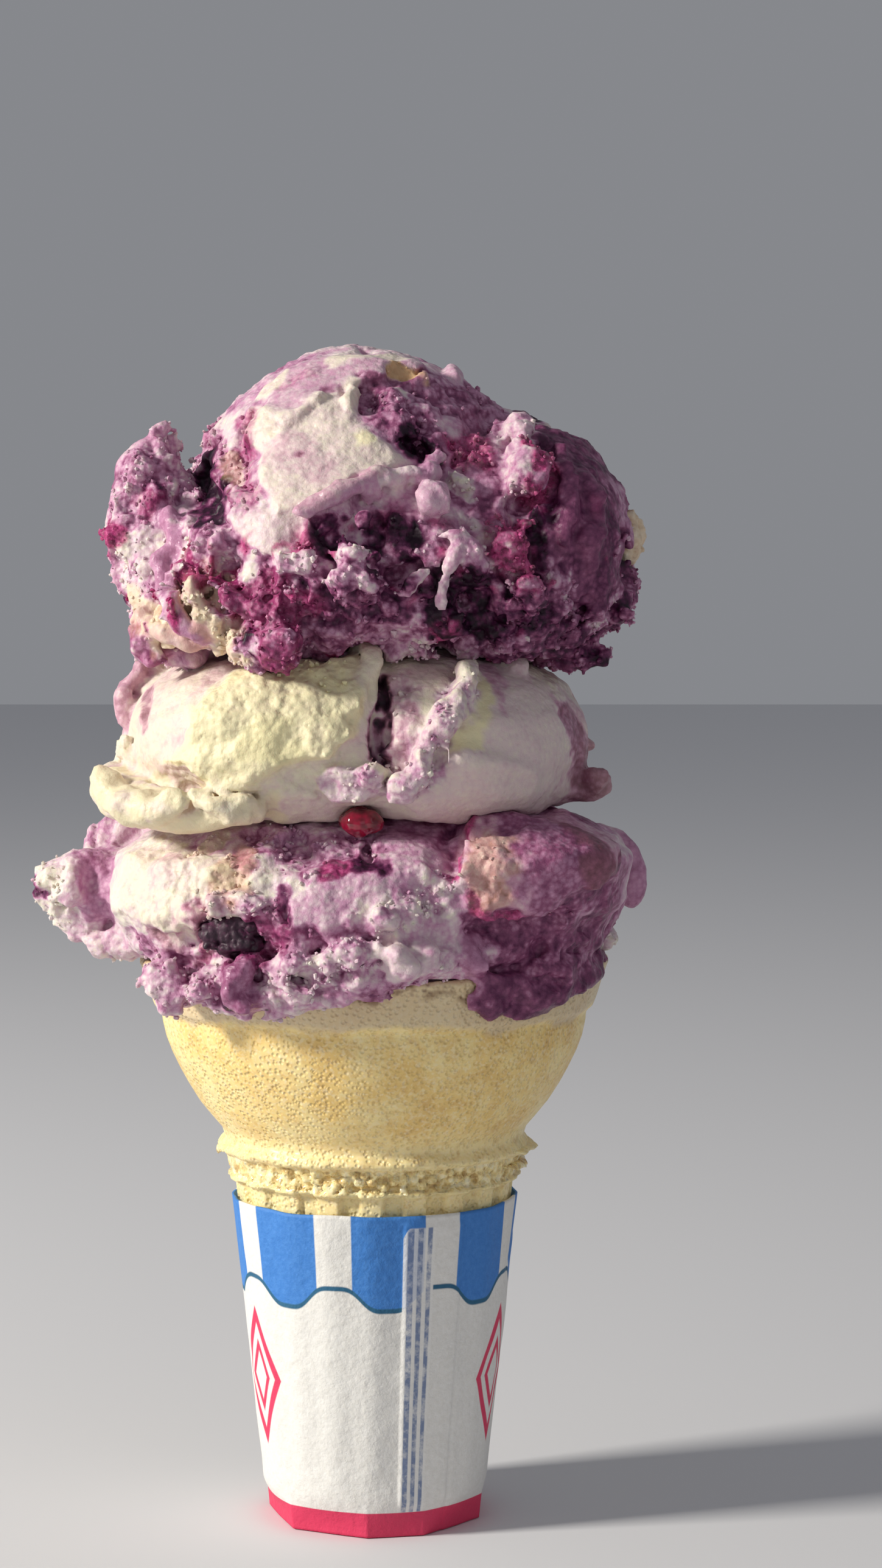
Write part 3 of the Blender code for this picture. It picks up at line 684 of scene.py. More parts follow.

# %% [markdown]
# ## The top scoop's marks
# From the photograph: a cleft that splits off a horn on the left, a large smooth patch with a curled
# lavender ridge under it, hollows below that, and raw magenta flakes on the right. The cleft and the
# hollows are given dark berry, which is painted shade in them.

# %% Top scoop
TOP = {
    "look": top_look, "seed": 110, "depth": 1.0, "melts_over": "crust_chunk_left",
    "back": {"ridge": 9, "hollow": 9, "tint": 9},
    "back_looks": {
        "ridge": [{"berry": 0.35}, {"berry": 0.75}, {"berry": 0.15}],
        # Dark berry in the back's hollows: painted shade.
        "hollow": [{"berry": 0.85}, {"berry": 0.95, "torn": 1.0}],
        "tint": [{"berry": 0.10, "torn": 0.1}, {"berry": 0.8}, {"berry": 0.3, "torn": 0.2}],
    },
    "plates": [
        plate([(446, 640), (500, 600), (590, 574), (680, 584), (722, 604), (690, 612), (610, 640), (530, 662),
               (470, 690), (420, 700)], 0.9, 10.0, berry=0.35, butter=0.05, torn=0.14),
        plate([(412, 668), (470, 664), (559, 642), (580, 690), (640, 716), (672, 752), (640, 776), (600, 792),
               (546, 812), (490, 838), (444, 842), (430, 790), (430, 745), (400, 705)], 1.0, 9.0,
              berry=0.15, butter=0.20, torn=0.20),
        plate([(372, 848), (440, 838), (480, 842), (516, 850), (510, 878), (492, 904), (440, 912), (402, 898),
               (380, 872)], 0.5, 9.0, berry=0.20, butter=0.1, torn=0.20),
    ],
    "marks": [
        # The dark berry of the right side, here and in the far-right marks below, is partly the fruit's own colour and
        # partly painted shade on the side away from the light.
        tint([(900, 700), (960, 800), (985, 940)], 6.0, berry=0.72, torn=0.35),
        tint([(700, 640), (800, 660), (860, 760)], 5.0, berry=0.52, torn=0.6),
        tint([(552, 600), (606, 592), (656, 590)], 2.0, berry=0.12, butter=0.25),
        tint([(436, 642), (462, 624)], 2.2, berry=0.12, butter=0.25),
        tint([(560, 640), (640, 622), (700, 604)], 1.8, berry=0.30, torn=0.05),
        tint([(470, 640), (500, 625)], 1.6, berry=0.34, raw=0.25, torn=0.4),
        tint([(380, 640), (350, 700)], 2.6, berry=0.26, torn=0.4),
        tint([(610, 650), (680, 690), (700, 740)], 3.4, berry=0.56, torn=1.0),
        tint([(470, 745), (520, 772)], 2.8, berry=0.29, torn=0.2),
        tint([(430, 700), (452, 716)], 2.2, berry=0.12, butter=0.25, torn=0.3),
        tint([(492, 757)], 0.8, berry=0.58),
        tint([(600, 730)], 1.5, berry=0.05, butter=0.7),
        tint([(404, 690), (396, 760), (400, 820)], 2.4, berry=0.34, raw=0.45, torn=0.9),
        tint([(372, 760), (384, 790)], 1.5, berry=0.12, butter=0.4, toast=0.2, raw=0.0, torn=0.8),
        tint([(776, 736)], 4.2, berry=0.45, raw=0.8, torn=1.0),
        tint([(345, 705), (354, 745), (362, 790)], 2.4, berry=0.42, raw=0.2, torn=1.0),
        # The cleft's hollow and the tint round it are painted nearly black: painted shade in the cleft.
        hollow([(332, 764), (336, 800), (344, 842)], 2.3, berry=1.0, raw=0.0, torn=0.3, lift=-0.2),
        tint([(322, 750), (332, 790), (342, 840)], 2.6, berry=1.0, raw=0.0, torn=0.5),
        # Hollows painted with dark berry, here and below: painted shade in the recesses.
        hollow([(395, 740), (404, 800)], 1.2, berry=0.66, torn=1.0),
        hollow([(676, 728), (692, 742), (706, 752)], 2.0, berry=0.97, raw=0.0, torn=1.0, lift=0.0),
        hollow([(530, 876), (580, 872), (640, 852)], 1.9, berry=0.86, raw=0.0),
        # The groove under the cap streak is painted darker: a painted shadow line under its ledge.
        hollow([(540, 644), (590, 640), (640, 632), (700, 612)], 1.0, berry=0.60, torn=0.2, lift=-0.1),
        hollow([(366, 800), (372, 836), (356, 866)], 1.3, berry=0.78, torn=1.0),
        hollow([(388, 975), (402, 1010), (396, 1040)], 1.8, berry=0.97, raw=0.0, torn=0.8, lift=0.0),
        ridge([(498, 852), (530, 832), (565, 818), (600, 806), (636, 788)], 1.5, berry=0.40, wet=0.8, torn=0.02,
              raw=0.0, lift=0.85),
        ridge([(640, 800), (668, 782), (676, 796)], 1.4, berry=0.22, wet=0.5, torn=0.3, raw=0.0, lift=0.7),
        ridge([(694, 800), (706, 780), (716, 768)], 1.9, berry=0.38, wet=0.4, torn=0.3, raw=0.0, lift=0.6),
        ridge([(700, 842), (712, 834)], 3.0, berry=0.36, wet=0.6, torn=0.0, raw=0.0, lift=0.7, wobble=0.1),
        ridge([(736, 790), (772, 806)], 1.2, berry=0.10, torn=1.0, raw=0.0),
        ridge([(575, 640), (578, 672)], 1.2, berry=0.10, butter=0.2, torn=0.05, raw=0.0),
        ridge([(744, 614), (748, 624)], 1.2, berry=0.34, torn=0.05),
        tint([(648, 612), (690, 620)], 1.6, berry=0.20, butter=0.0, toast=0.9, torn=0.9, raw=0.0),
        # Dark berry on the right-hand ridges below: partly painted shade.
        ridge([(842, 676), (880, 682)], 1.2, berry=0.75, lift=0.0),
        ridge([(852, 708), (858, 745), (862, 790), (862, 832)], 2.4, berry=0.28, torn=0.6, raw=0.0, lift=0.5,
              wobble=0.1),
        tint([(858, 702)], 1.8, berry=0.03, torn=0.5),
        ridge([(876, 750), (880, 790), (872, 828)], 1.5, berry=0.44, raw=0.9, torn=1.0, lift=0.9, wobble=0.2),
        ridge([(912, 740), (930, 810), (926, 890)], 1.7, berry=0.66, torn=0.15, lift=0.0),
        ridge([(958, 790), (974, 860), (968, 930)], 1.7, berry=0.66, torn=0.2, lift=0.0),
        # Dark berry in this hollow and the one lower on the right: painted shade.
        hollow([(892, 720), (905, 790), (904, 850)], 1.0, berry=0.85, torn=0.2),
        tint([(880, 748), (884, 785), (878, 822)], 2.3, berry=0.44, raw=0.95, torn=1.0),
        tint([(850, 790), (858, 830)], 1.7, berry=0.40, raw=0.3, torn=1.0),
        ridge([(852, 850), (838, 890), (846, 925), (866, 972)], 2.1, berry=0.46, raw=0.9, torn=1.0, lift=0.9,
              wobble=0.2),
        ridge([(812, 868), (814, 900), (826, 940)], 1.8, berry=0.44, raw=0.85, torn=1.0, lift=0.9, wobble=0.2),
        hollow([(880, 860), (884, 920), (880, 970)], 1.7, berry=0.92, raw=0.0),
        ridge([(740, 880), (770, 900), (784, 940)], 1.9, berry=0.36, torn=0.7, raw=0.0, lift=0.5),
        ridge([(556, 966), (570, 930), (596, 920), (600, 950)], 2.2, berry=0.26, torn=0.9, raw=0.0, lift=0.6),
        ridge([(520, 948), (500, 930), (470, 926)], 1.6, berry=0.28, torn=0.9, raw=0.0),
        ridge([(606, 850), (590, 868)], 1.3, berry=0.36, torn=0.4, raw=0.0, lift=0.6),
        # Nearly black hollows under the curl and the plates: painted shade.
        hollow([(560, 880), (590, 892), (620, 886)], 2.0, berry=0.95, raw=0.0, torn=1.0, lift=0.0),
        hollow([(646, 880), (652, 920), (660, 960)], 3.0, berry=0.98, raw=0.0, torn=0.9, lift=-0.1),
        hollow([(756, 972), (790, 1004), (806, 1030)], 3.1, berry=0.98, raw=0.0, torn=1.0, lift=-0.1),
        hollow([(700, 990), (712, 1030)], 2.2, berry=0.98, raw=0.0, torn=1.0, lift=0.0),
        ridge([(702, 942), (678, 958), (668, 990)], 1.1, berry=0.26, torn=0.4, raw=0.0, wet=0.3, lift=0.6),
        ridge([(742, 900), (730, 948), (722, 990)], 1.4, berry=0.30, torn=0.4, raw=0.0, lift=0.8),
        ridge([(262, 712), (286, 712)], 1.8, berry=0.36, torn=0.6, lift=0.0),
        hollow([(256, 774), (270, 796)], 1.2, berry=0.85, raw=0.0, torn=1.0),
        tint([(236, 820), (250, 840), (262, 830)], 1.6, berry=0.6, raw=0.45, torn=1.0),
        tint([(216, 760), (200, 820)], 3.0, berry=0.40, torn=1.0),
        tint([(270, 740), (300, 740), (300, 800)], 2.6, berry=0.36, torn=1.0),
        tint([(174, 930), (190, 980)], 3.0, berry=0.28, torn=0.7),
        ridge([(174, 884), (196, 880)], 1.6, berry=0.60, raw=0.9, torn=0.8),
        tint([(300, 870), (290, 930)], 2.6, berry=0.22, torn=0.8),
        tint([(206, 900), (222, 920)], 2.2, berry=0.08, torn=0.8),
        ridge([(348, 910), (366, 892), (358, 866)], 1.25, berry=0.40, wet=0.3, torn=0.6, raw=0.0, lift=0.2),
        tint([(226, 1000), (250, 1024), (290, 1044)], 3.0, berry=0.10, toast=0.35, butter=0.3, raw=0.0, torn=0.5),
        tint([(330, 975), (352, 1020), (372, 1050)], 3.6, berry=0.06, butter=0.15, toast=0.36, raw=0.0, torn=1.0),
        ridge([(330, 966), (350, 1000), (362, 1040)], 2.2, berry=0.06, butter=0.15, toast=0.36, raw=0.0, torn=1.0,
              lift=0.5),
        ridge([(424, 1000), (448, 1030), (455, 1074)], 3.0, berry=0.62, raw=0.45, torn=1.0),
        ridge([(396, 985), (440, 975), (500, 1000)], 2.2, berry=0.60, raw=0.5, torn=1.0),
        ridge([(302, 938), (326, 952)], 1.5, berry=0.97, raw=0.75, wet=1.0, torn=0.6, lift=0.5),
        ridge([(344, 946), (376, 941)], 1.5, berry=0.97, raw=0.75, wet=1.0, torn=0.6, lift=0.5),
        tint([(494, 876), (500, 900)], 1.6, berry=0.50, raw=0.7, torn=1.0),
        ridge([(388, 928), (410, 924)], 1.5, berry=0.08, torn=0.6, raw=0.0, lift=0.6),
        tint([(248, 930)], 2.2, berry=0.25, raw=0.0, torn=0.7),
        tint([(218, 985), (240, 1008), (262, 1020)], 2.4, berry=0.08, butter=0.2, toast=0.36, raw=0.0, torn=0.6),
        ridge([(232, 1006), (262, 1034), (300, 1052), (345, 1058)], 1.2, berry=0.28, butter=0.15, wet=0.3, torn=0.1,
              raw=0.0, lift=1.1),
        tint([(256, 870), (250, 920)], 2.0, berry=0.12, torn=0.6),
        tint([(300, 880), (300, 920)], 1.6, berry=0.12, torn=0.8),
        ridge([(271, 850), (276, 917), (279, 965)], 1.5, berry=0.46, wet=0.8, torn=0.0, raw=0.0, lift=0.8,
              wobble=0.1),
        ridge([(278, 950), (284, 1000), (298, 1028), (322, 1044), (345, 1054)], 1.45, berry=0.44, wet=0.7, torn=0.0,
              raw=0.0, lift=1.7, wobble=0.1),
        tint([(520, 990), (640, 1010)], 4.4, berry=0.66, torn=1.0),
        ridge([(244, 1050), (286, 1076), (330, 1082)], 1.9, berry=0.36, wet=0.2, torn=0.2, raw=0.0, lift=0.2),
        # Dark berry at the lower right: partly painted shade.
        tint([(850, 1000), (930, 1060)], 5.0, berry=0.72, raw=0.0, torn=1.0),
        ridge([(1014, 1000)], 1.4, berry=0.80),
        ridge([(976, 1078), (972, 1098)], 1.4, berry=0.85),
        ridge([(242, 1036), (266, 1062)], 2.0, berry=0.56, raw=0.2, torn=0.3),
    ],
}
print("top scoop:", len(TOP["marks"]), "marks,", len(TOP["plates"]), "plates")

# %% [markdown]
# ## The middle scoop's marks
# A craggy butter-coloured plate leans on the left over a rolled lip of cream. A crack painted nearly
# black as shade parts it from a purple ridge, and the right side is a smooth dome whose purple is partly
# painted shade.

# %% Middle scoop
MIDDLE = {
    "look": middle_look, "seed": 210, "depth": 0.8,
    "back": {"ridge": 6, "hollow": 5, "tint": 8},
    "back_looks": {
        "ridge": [{"berry": 0.45}, {"berry": 0.05, "butter": 0.5}],
        # The darker of the back's hollows carries painted shade.
        "hollow": [{"berry": 0.7}, {"berry": 0.25}],
        "tint": [{"butter": 0.8, "berry": 0.0}, {"berry": 0.5}, {"berry": 0.05, "torn": 0.9}],
    },
    "plates": [
        plate([(650, 1296), (700, 1262), (760, 1236), (830, 1240), (900, 1270), (880, 1330), (792, 1352),
               (751, 1364), (697, 1360), (658, 1336)], 0.9, 26.0, berry=0.18, butter=0.15, torn=0.06),
        plate([(412, 1108), (500, 1084), (578, 1070), (604, 1100), (604, 1140), (591, 1210), (550, 1240),
               (508, 1250), (470, 1268), (430, 1305), (355, 1290), (272, 1255), (300, 1200), (336, 1140),
               (370, 1116)], 2.2, 5.0, berry=0.0, butter=0.76, torn=0.50),
        plate([(523, 1280), (548, 1262), (600, 1250), (636, 1258), (640, 1296), (600, 1318), (545, 1322),
               (530, 1302)], 1.5, 4.0, berry=0.20, butter=0.0, torn=0.60),
    ],
    "marks": [
        tint([(300, 1120), (250, 1200), (230, 1250)], 4.0, berry=0.16, torn=0.25),
        tint([(470, 1110), (540, 1130)], 3.2, butter=0.95, torn=0.8),
        tint([(420, 1225), (470, 1240)], 3.0, butter=0.95, torn=0.3),
        tint([(860, 1150), (840, 1280), (900, 1300)], 9.0, berry=0.20, butter=0.18, torn=0.05),
        # Purple on the right of the dome, here and in the two ridges at the far right below: partly painted shade on
        # the side away from the light.
        tint([(940, 1180), (972, 1300)], 3.4, berry=0.55, torn=0.3),
        tint([(910, 1330), (850, 1350)], 2.6, berry=0.45, torn=0.2),
        tint([(800, 1100), (812, 1150)], 2.2, berry=0.40, torn=0.2),
        tint([(784, 1135), (776, 1170), (764, 1205)], 3.2, berry=0.14, butter=0.95, torn=0.05),
        tint([(700, 1100), (745, 1120)], 3.0, berry=0.24, butter=0.35, torn=0.1),
        tint([(660, 1120), (650, 1200), (660, 1250)], 3.0, berry=0.32, torn=0.6),
        # The crack is painted nearly black: painted shade in it.
        hollow([(624, 1112), (626, 1140), (624, 1180), (620, 1210), (624, 1246)], 1.0, berry=0.97, torn=0.2, lift=-0.7),
        hollow([(620, 1180), (620, 1240)], 0.9, berry=0.97, torn=0.2, lift=-1.6),
        hollow([(243, 1130), (238, 1195)], 1.3, berry=0.55),
        ridge([(583, 1078), (606, 1096), (604, 1130)], 1.7, berry=0.03, butter=0.35, torn=0.15, lift=0.6),
        ridge([(763, 1128), (748, 1160), (731, 1185), (715, 1220), (699, 1255), (672, 1282)], 2.1,
              berry=0.24, torn=0.8, butter=0.0, lift=0.5),
        ridge([(672, 1282), (644, 1302)], 1.9, berry=0.24, torn=0.6, butter=0.0, lift=0.5),
        ridge([(764, 1108), (760, 1130)], 1.5, berry=0.04, torn=0.6, lift=0.6),
        ridge([(833, 1089), (846, 1104)], 1.9, berry=0.24, torn=0.2),
        ridge([(600, 1270), (626, 1262)], 1.2, berry=0.30, torn=1.0),
        ridge([(236, 1094), (216, 1130), (208, 1190)], 1.5, berry=0.42, torn=0.2),
        ridge([(215, 1215), (196, 1245)], 1.4, berry=0.06, butter=0.3, torn=0.4),
        tint([(160, 1290), (220, 1330), (330, 1330), (420, 1330)], 4.5, berry=0.10, butter=0.74, torn=0.05),
        ridge([(180, 1284), (198, 1316), (236, 1332), (300, 1328)], 2.3, berry=0.10, butter=0.74, torn=0.0, wet=0.4),
        ridge([(332, 1318), (380, 1322), (425, 1318)], 2.0, berry=0.08, butter=0.60, torn=0.3),
        hollow([(300, 1296), (318, 1322), (300, 1340)], 0.8, berry=0.25),
        hollow([(260, 1276), (340, 1298), (420, 1306)], 1.0, berry=0.12, butter=0.6),
        ridge([(978, 1226), (984, 1230)], 1.4, berry=0.55),
        ridge([(975, 1278), (994, 1281)], 1.9, berry=0.58, torn=0.1),
    ],
}
print("middle scoop:", len(MIDDLE["marks"]), "marks")

# %% [markdown]
# ## The bottom scoop's marks
# It sags over the rim in lumps and drips, with a cream lobe flung out on the left, a flap edged with
# magenta on the right, and a thin tongue at its far right. Its hollows are painted dark as shade, and the
# dark berry of its right side and of the melt over the rim is partly painted shade.

# %% Bottom scoop
BOTTOM = {
    "look": bottom_look, "seed": 310, "depth": 0.85, "melts_over": "wafer_cone",
    "back": {"ridge": 8, "hollow": 5, "tint": 9},
    "back_looks": {
        "ridge": [{"berry": 0.2}, {"berry": 0.6}, {"berry": 0.1, "torn": 0.8}],
        # The darker of the back's hollows carries painted shade.
        "hollow": [{"berry": 0.75}, {"berry": 0.5}],
        "tint": [{"berry": 0.7}, {"berry": 0.06, "torn": 0.3}, {"berry": 0.1, "toast": 0.4, "torn": 0.8}],
    },
    "plates": [
        plate([(262, 1580), (400, 1590), (560, 1580), (700, 1560), (850, 1560), (990, 1530), (990, 1580),
               (900, 1606), (760, 1606), (700, 1606), (560, 1622), (450, 1642), (390, 1656), (300, 1662),
               (270, 1640)], 0.9, 12.0, berry=0.29, torn=0.70),
        plate([(469, 1491), (510, 1462), (560, 1440), (640, 1408), (692, 1392), (700, 1412), (660, 1450),
               (620, 1490), (560, 1525), (480, 1545)], 0.4, 18.0, berry=0.33, torn=0.30),
        plate([(787, 1338), (756, 1380), (750, 1430), (765, 1470), (792, 1505), (840, 1498), (900, 1500),
               (950, 1466), (1012, 1436), (1012, 1375), (930, 1340), (850, 1328)], 1.9, 7.0,
              berry=0.38, toast=0.10, torn=0.25),
    ],
    "marks": [
        tint([(72, 1440), (70, 1490)], 4.2, berry=0.02, torn=0.85),
        hollow([(150, 1420), (158, 1480)], 1.6, berry=0.46, torn=0.3),
        tint([(165, 1400), (170, 1500)], 3.0, berry=0.46, torn=0.3),
        tint([(150, 1372), (156, 1330)], 3.0, berry=0.36, torn=0.5),
        tint([(140, 1556), (235, 1562)], 3.2, berry=0.24, torn=0.5),
        tint([(232, 1420), (262, 1490), (330, 1440)], 7.0, berry=0.10, butter=0.30, torn=0.50),
        tint([(255, 1410), (262, 1440)], 2.6, berry=0.24, torn=0.3),
        tint([(400, 1400), (372, 1440), (388, 1478)], 2.4, berry=0.12, toast=0.45, torn=0.9),
        tint([(320, 1395), (350, 1380)], 2.0, berry=0.14, toast=0.35, torn=0.9),
        tint([(440, 1370), (520, 1400), (600, 1390)], 4.6, berry=0.43, torn=0.8),
        tint([(640, 1350), (720, 1370)], 3.6, berry=0.50, torn=0.3),
        tint([(420, 1520), (520, 1560), (620, 1550)], 3.2, berry=0.46, torn=0.6),
        tint([(230, 1560), (300, 1580)], 3.0, berry=0.50, torn=0.6),
        tint([(640, 1540), (700, 1490), (740, 1440)], 3.2, berry=0.22, torn=0.9),
        tint([(800, 1405), (806, 1450)], 3.6, berry=0.38, butter=0.0, toast=0.46, torn=0.6),
        # Dark berry on the right: partly painted shade on the side away from the light.
        tint([(930, 1390), (990, 1440)], 4.4, berry=0.68, torn=0.15),
        tint([(590, 1412), (640, 1420)], 1.8, berry=0.85, torn=0.6),
        tint([(530, 1432), (560, 1420)], 1.6, berry=0.6, raw=0.7, torn=0.6),
        tint([(390, 1395), (410, 1420)], 1.5, berry=0.3, raw=0.35, torn=0.7),
        tint([(860, 1370), (900, 1400), (900, 1460)], 4.0, berry=0.55, toast=0.0, torn=0.3),
        tint([(850, 1560), (930, 1545), (985, 1530)], 5.0, berry=0.64, torn=0.4),
        tint([(1045, 1400), (1050, 1480)], 4.0, berry=0.46, torn=0.1),
        # Hollows painted darker: painted shade in the recesses.
        hollow([(468, 1462), (470, 1518)], 0.9, berry=0.75),
        hollow([(738, 1350), (742, 1420)], 1.6, berry=0.7),
        hollow([(770, 1520), (860, 1522), (940, 1500)], 1.7, berry=0.62, torn=0.6),
        hollow([(250, 1530), (330, 1562)], 1.2, berry=0.45),
        ridge([(787, 1340), (757, 1380), (752, 1430), (768, 1474), (794, 1506), (848, 1502)], 0.9,
              berry=0.45, raw=0.85, torn=0.4),
        hollow([(246, 1580), (254, 1606)], 1.9, berry=0.4, lift=0.4),
        ridge([(266, 1606), (280, 1620)], 2.3, berry=0.30, torn=0.8),
        ridge([(284, 1606), (287, 1640)], 2.3, berry=0.34, torn=0.7),
        ridge([(318, 1618), (350, 1628)], 2.2, berry=0.40, torn=0.9),
        ridge([(418, 1580), (412, 1615), (398, 1640)], 2.6, berry=0.56, wet=0.8, torn=0.1),
        ridge([(381, 1652), (382, 1658)], 0.8, berry=0.90, wet=1.0, torn=0.0, lift=0.9),
        ridge([(446, 1612), (500, 1612), (548, 1604)], 2.4, berry=0.30, torn=1.0),
        ridge([(560, 1600), (620, 1590)], 2.2, berry=0.28, torn=1.0),
        ridge([(650, 1582), (668, 1586)], 2.2, berry=0.20, torn=0.15),
        ridge([(690, 1560), (705, 1545)], 1.7, berry=0.26, torn=0.3),
        ridge([(770, 1560), (780, 1600), (790, 1640), (802, 1662)], 1.7, berry=0.48, wet=0.5, torn=0.05, lift=0.2),
        # Dark berry on the melt over the rim: partly painted shade under the scoop.
        ridge([(800, 1614), (860, 1616), (930, 1604), (992, 1574)], 2.0, berry=0.66, wet=0.4, torn=0.2, lift=0.1),
        ridge([(800, 1632), (860, 1634), (930, 1620), (985, 1594)], 1.9, berry=0.72, wet=0.5, torn=0.1, lift=0.0,
              wobble=0.2),
        ridge([(800, 1650), (860, 1654), (912, 1642)], 1.5, berry=0.74, wet=0.5, torn=0.1, lift=0.0, wobble=0.2),
        ridge([(840, 1600), (900, 1604), (960, 1584)], 1.6, berry=0.60, torn=0.5),
        ridge([(600, 1500), (640, 1512)], 1.6, berry=0.20, torn=0.7),
        tint([(352, 1516), (440, 1536)], 4.2, berry=0.60, raw=0.3, torn=0.9),
        ridge([(352, 1490), (390, 1480), (428, 1492)], 1.5, berry=0.36, torn=0.9),
        ridge([(350, 1500), (356, 1540)], 1.3, berry=0.30, torn=0.9),
        ridge([(560, 1340), (620, 1352)], 1.6, berry=0.60, torn=0.4),
    ],
}
print("bottom scoop:", len(BOTTOM["marks"]), "marks")

# %% [markdown]
# ## A hand for shader nodes
# A material is a small graph. This helper adds one node and gives each of its sockets either a number
# or a link, so that a finish reads from top to bottom like a recipe.

# %% Node helpers
def new_finish(name):
    finish = bpy.data.materials.new(name)
    finish.use_nodes = True
    tree = finish.node_tree
    shader = tree.nodes["Principled BSDF"]
    place = tree.nodes.new("ShaderNodeTexCoord").outputs["Object"]
    return finish, tree, shader, place


def add(tree, kind, sockets=None, **settings):
    """One node: its settings, then a value or a link for each socket named or numbered."""
    made = tree.nodes.new(kind)
    for name, value in settings.items():
        setattr(made, name, value)
    for name, value in (sockets or {}).items():
        if isinstance(value, bpy.types.NodeSocket):
            tree.links.new(value, made.inputs[name])
        else:
            made.inputs[name].default_value = value
    return made


def calc(tree, operation, *values, clamp=False):
    made = add(tree, "ShaderNodeMath", dict(enumerate(values)), operation=operation, use_clamp=clamp)
    return made.outputs[0]


def noise(tree, place, size, detail=2.0, rough=0.5):
    """Noise from 0 to 1 whose features are about `size` millimetres."""
    made = add(tree, "ShaderNodeTexNoise", {"Vector": place, "Scale": 1.0 / (size * MM), "Detail": detail,
                                            "Roughness": rough})
    return made.outputs["Fac"]


def cells(tree, place, size, feature="F1"):
    made = add(tree, "ShaderNodeTexVoronoi", {"Vector": place, "Scale": 1.0 / (size * MM)}, feature=feature)
    return made.outputs["Distance"]


def remap(tree, value, low, high, to_low=0.0, to_high=1.0):
    made = add(tree, "ShaderNodeMapRange", {"Value": value, "From Min": low, "From Max": high,
                                            "To Min": to_low, "To Max": to_high})
    return made.outputs[0]


def blend(tree, share, first, second):
    """The first colour where the share is 0 and the second where it is 1."""
    made = add(tree, "ShaderNodeMix", {0: share}, data_type="RGBA")
    for index, value in ((6, first), (7, second)):
        if isinstance(value, bpy.types.NodeSocket):
            tree.links.new(value, made.inputs[index])
        else:
            made.inputs[index].default_value = (*value, 1.0)
    return made.outputs[2]


def ramp(tree, value, stops):
    made = add(tree, "ShaderNodeValToRGB", {"Fac": value})
    points = made.color_ramp.elements
    while len(points) < len(stops):
        points.new(0.5)
    for point, (position, colour) in zip(points, stops):
        point.position = position
        point.color = (*colour, 1.0)
    return made.outputs["Color"]


def bump(tree, height, strength, depth, under=None):
    """Depth is in millimetres."""
    sockets = {"Height": height, "Strength": strength, "Distance": depth * MM}
    if under is not None:
        sockets["Normal"] = under
    return add(tree, "ShaderNodeBump", sockets).outputs["Normal"]


print("node helpers ready")

# %% [markdown]
# ## Frozen cream
# Ice cream is half matte, and light soaks into it a little, so its shadows are soft and warm. Its
# colour goes from cream through lilac and mauve to raw magenta and nearly black berry skin; the darkest
# steps also serve as painted shade in hollows, cracks and on the side away from the light. The finest
# grain of it is ice, which is bump and tiny pale specks here and not mesh.

# %% Ice cream finish
CREAM_TONE = (0.76, 0.71, 0.59)
BUTTER_TONE = (0.82, 0.74, 0.43)
TOAST_TONE = (0.62, 0.38, 0.18)
RAW_TONE = (0.44, 0.040, 0.175)
FROST_TONE = (0.90, 0.86, 0.88)
# Cream to nearly black berry; the dark end also stands for painted shade in hollows, cracks and on the shaded side.
BERRY_AND_SHADE_STEPS = [
    (0.00, CREAM_TONE),
    (0.24, (0.68, 0.53, 0.57)),
    (0.44, (0.52, 0.26, 0.40)),
    (0.62, (0.26, 0.075, 0.165)),
    (0.80, (0.095, 0.014, 0.062)),
    (1.00, (0.018, 0.003, 0.014)),
]


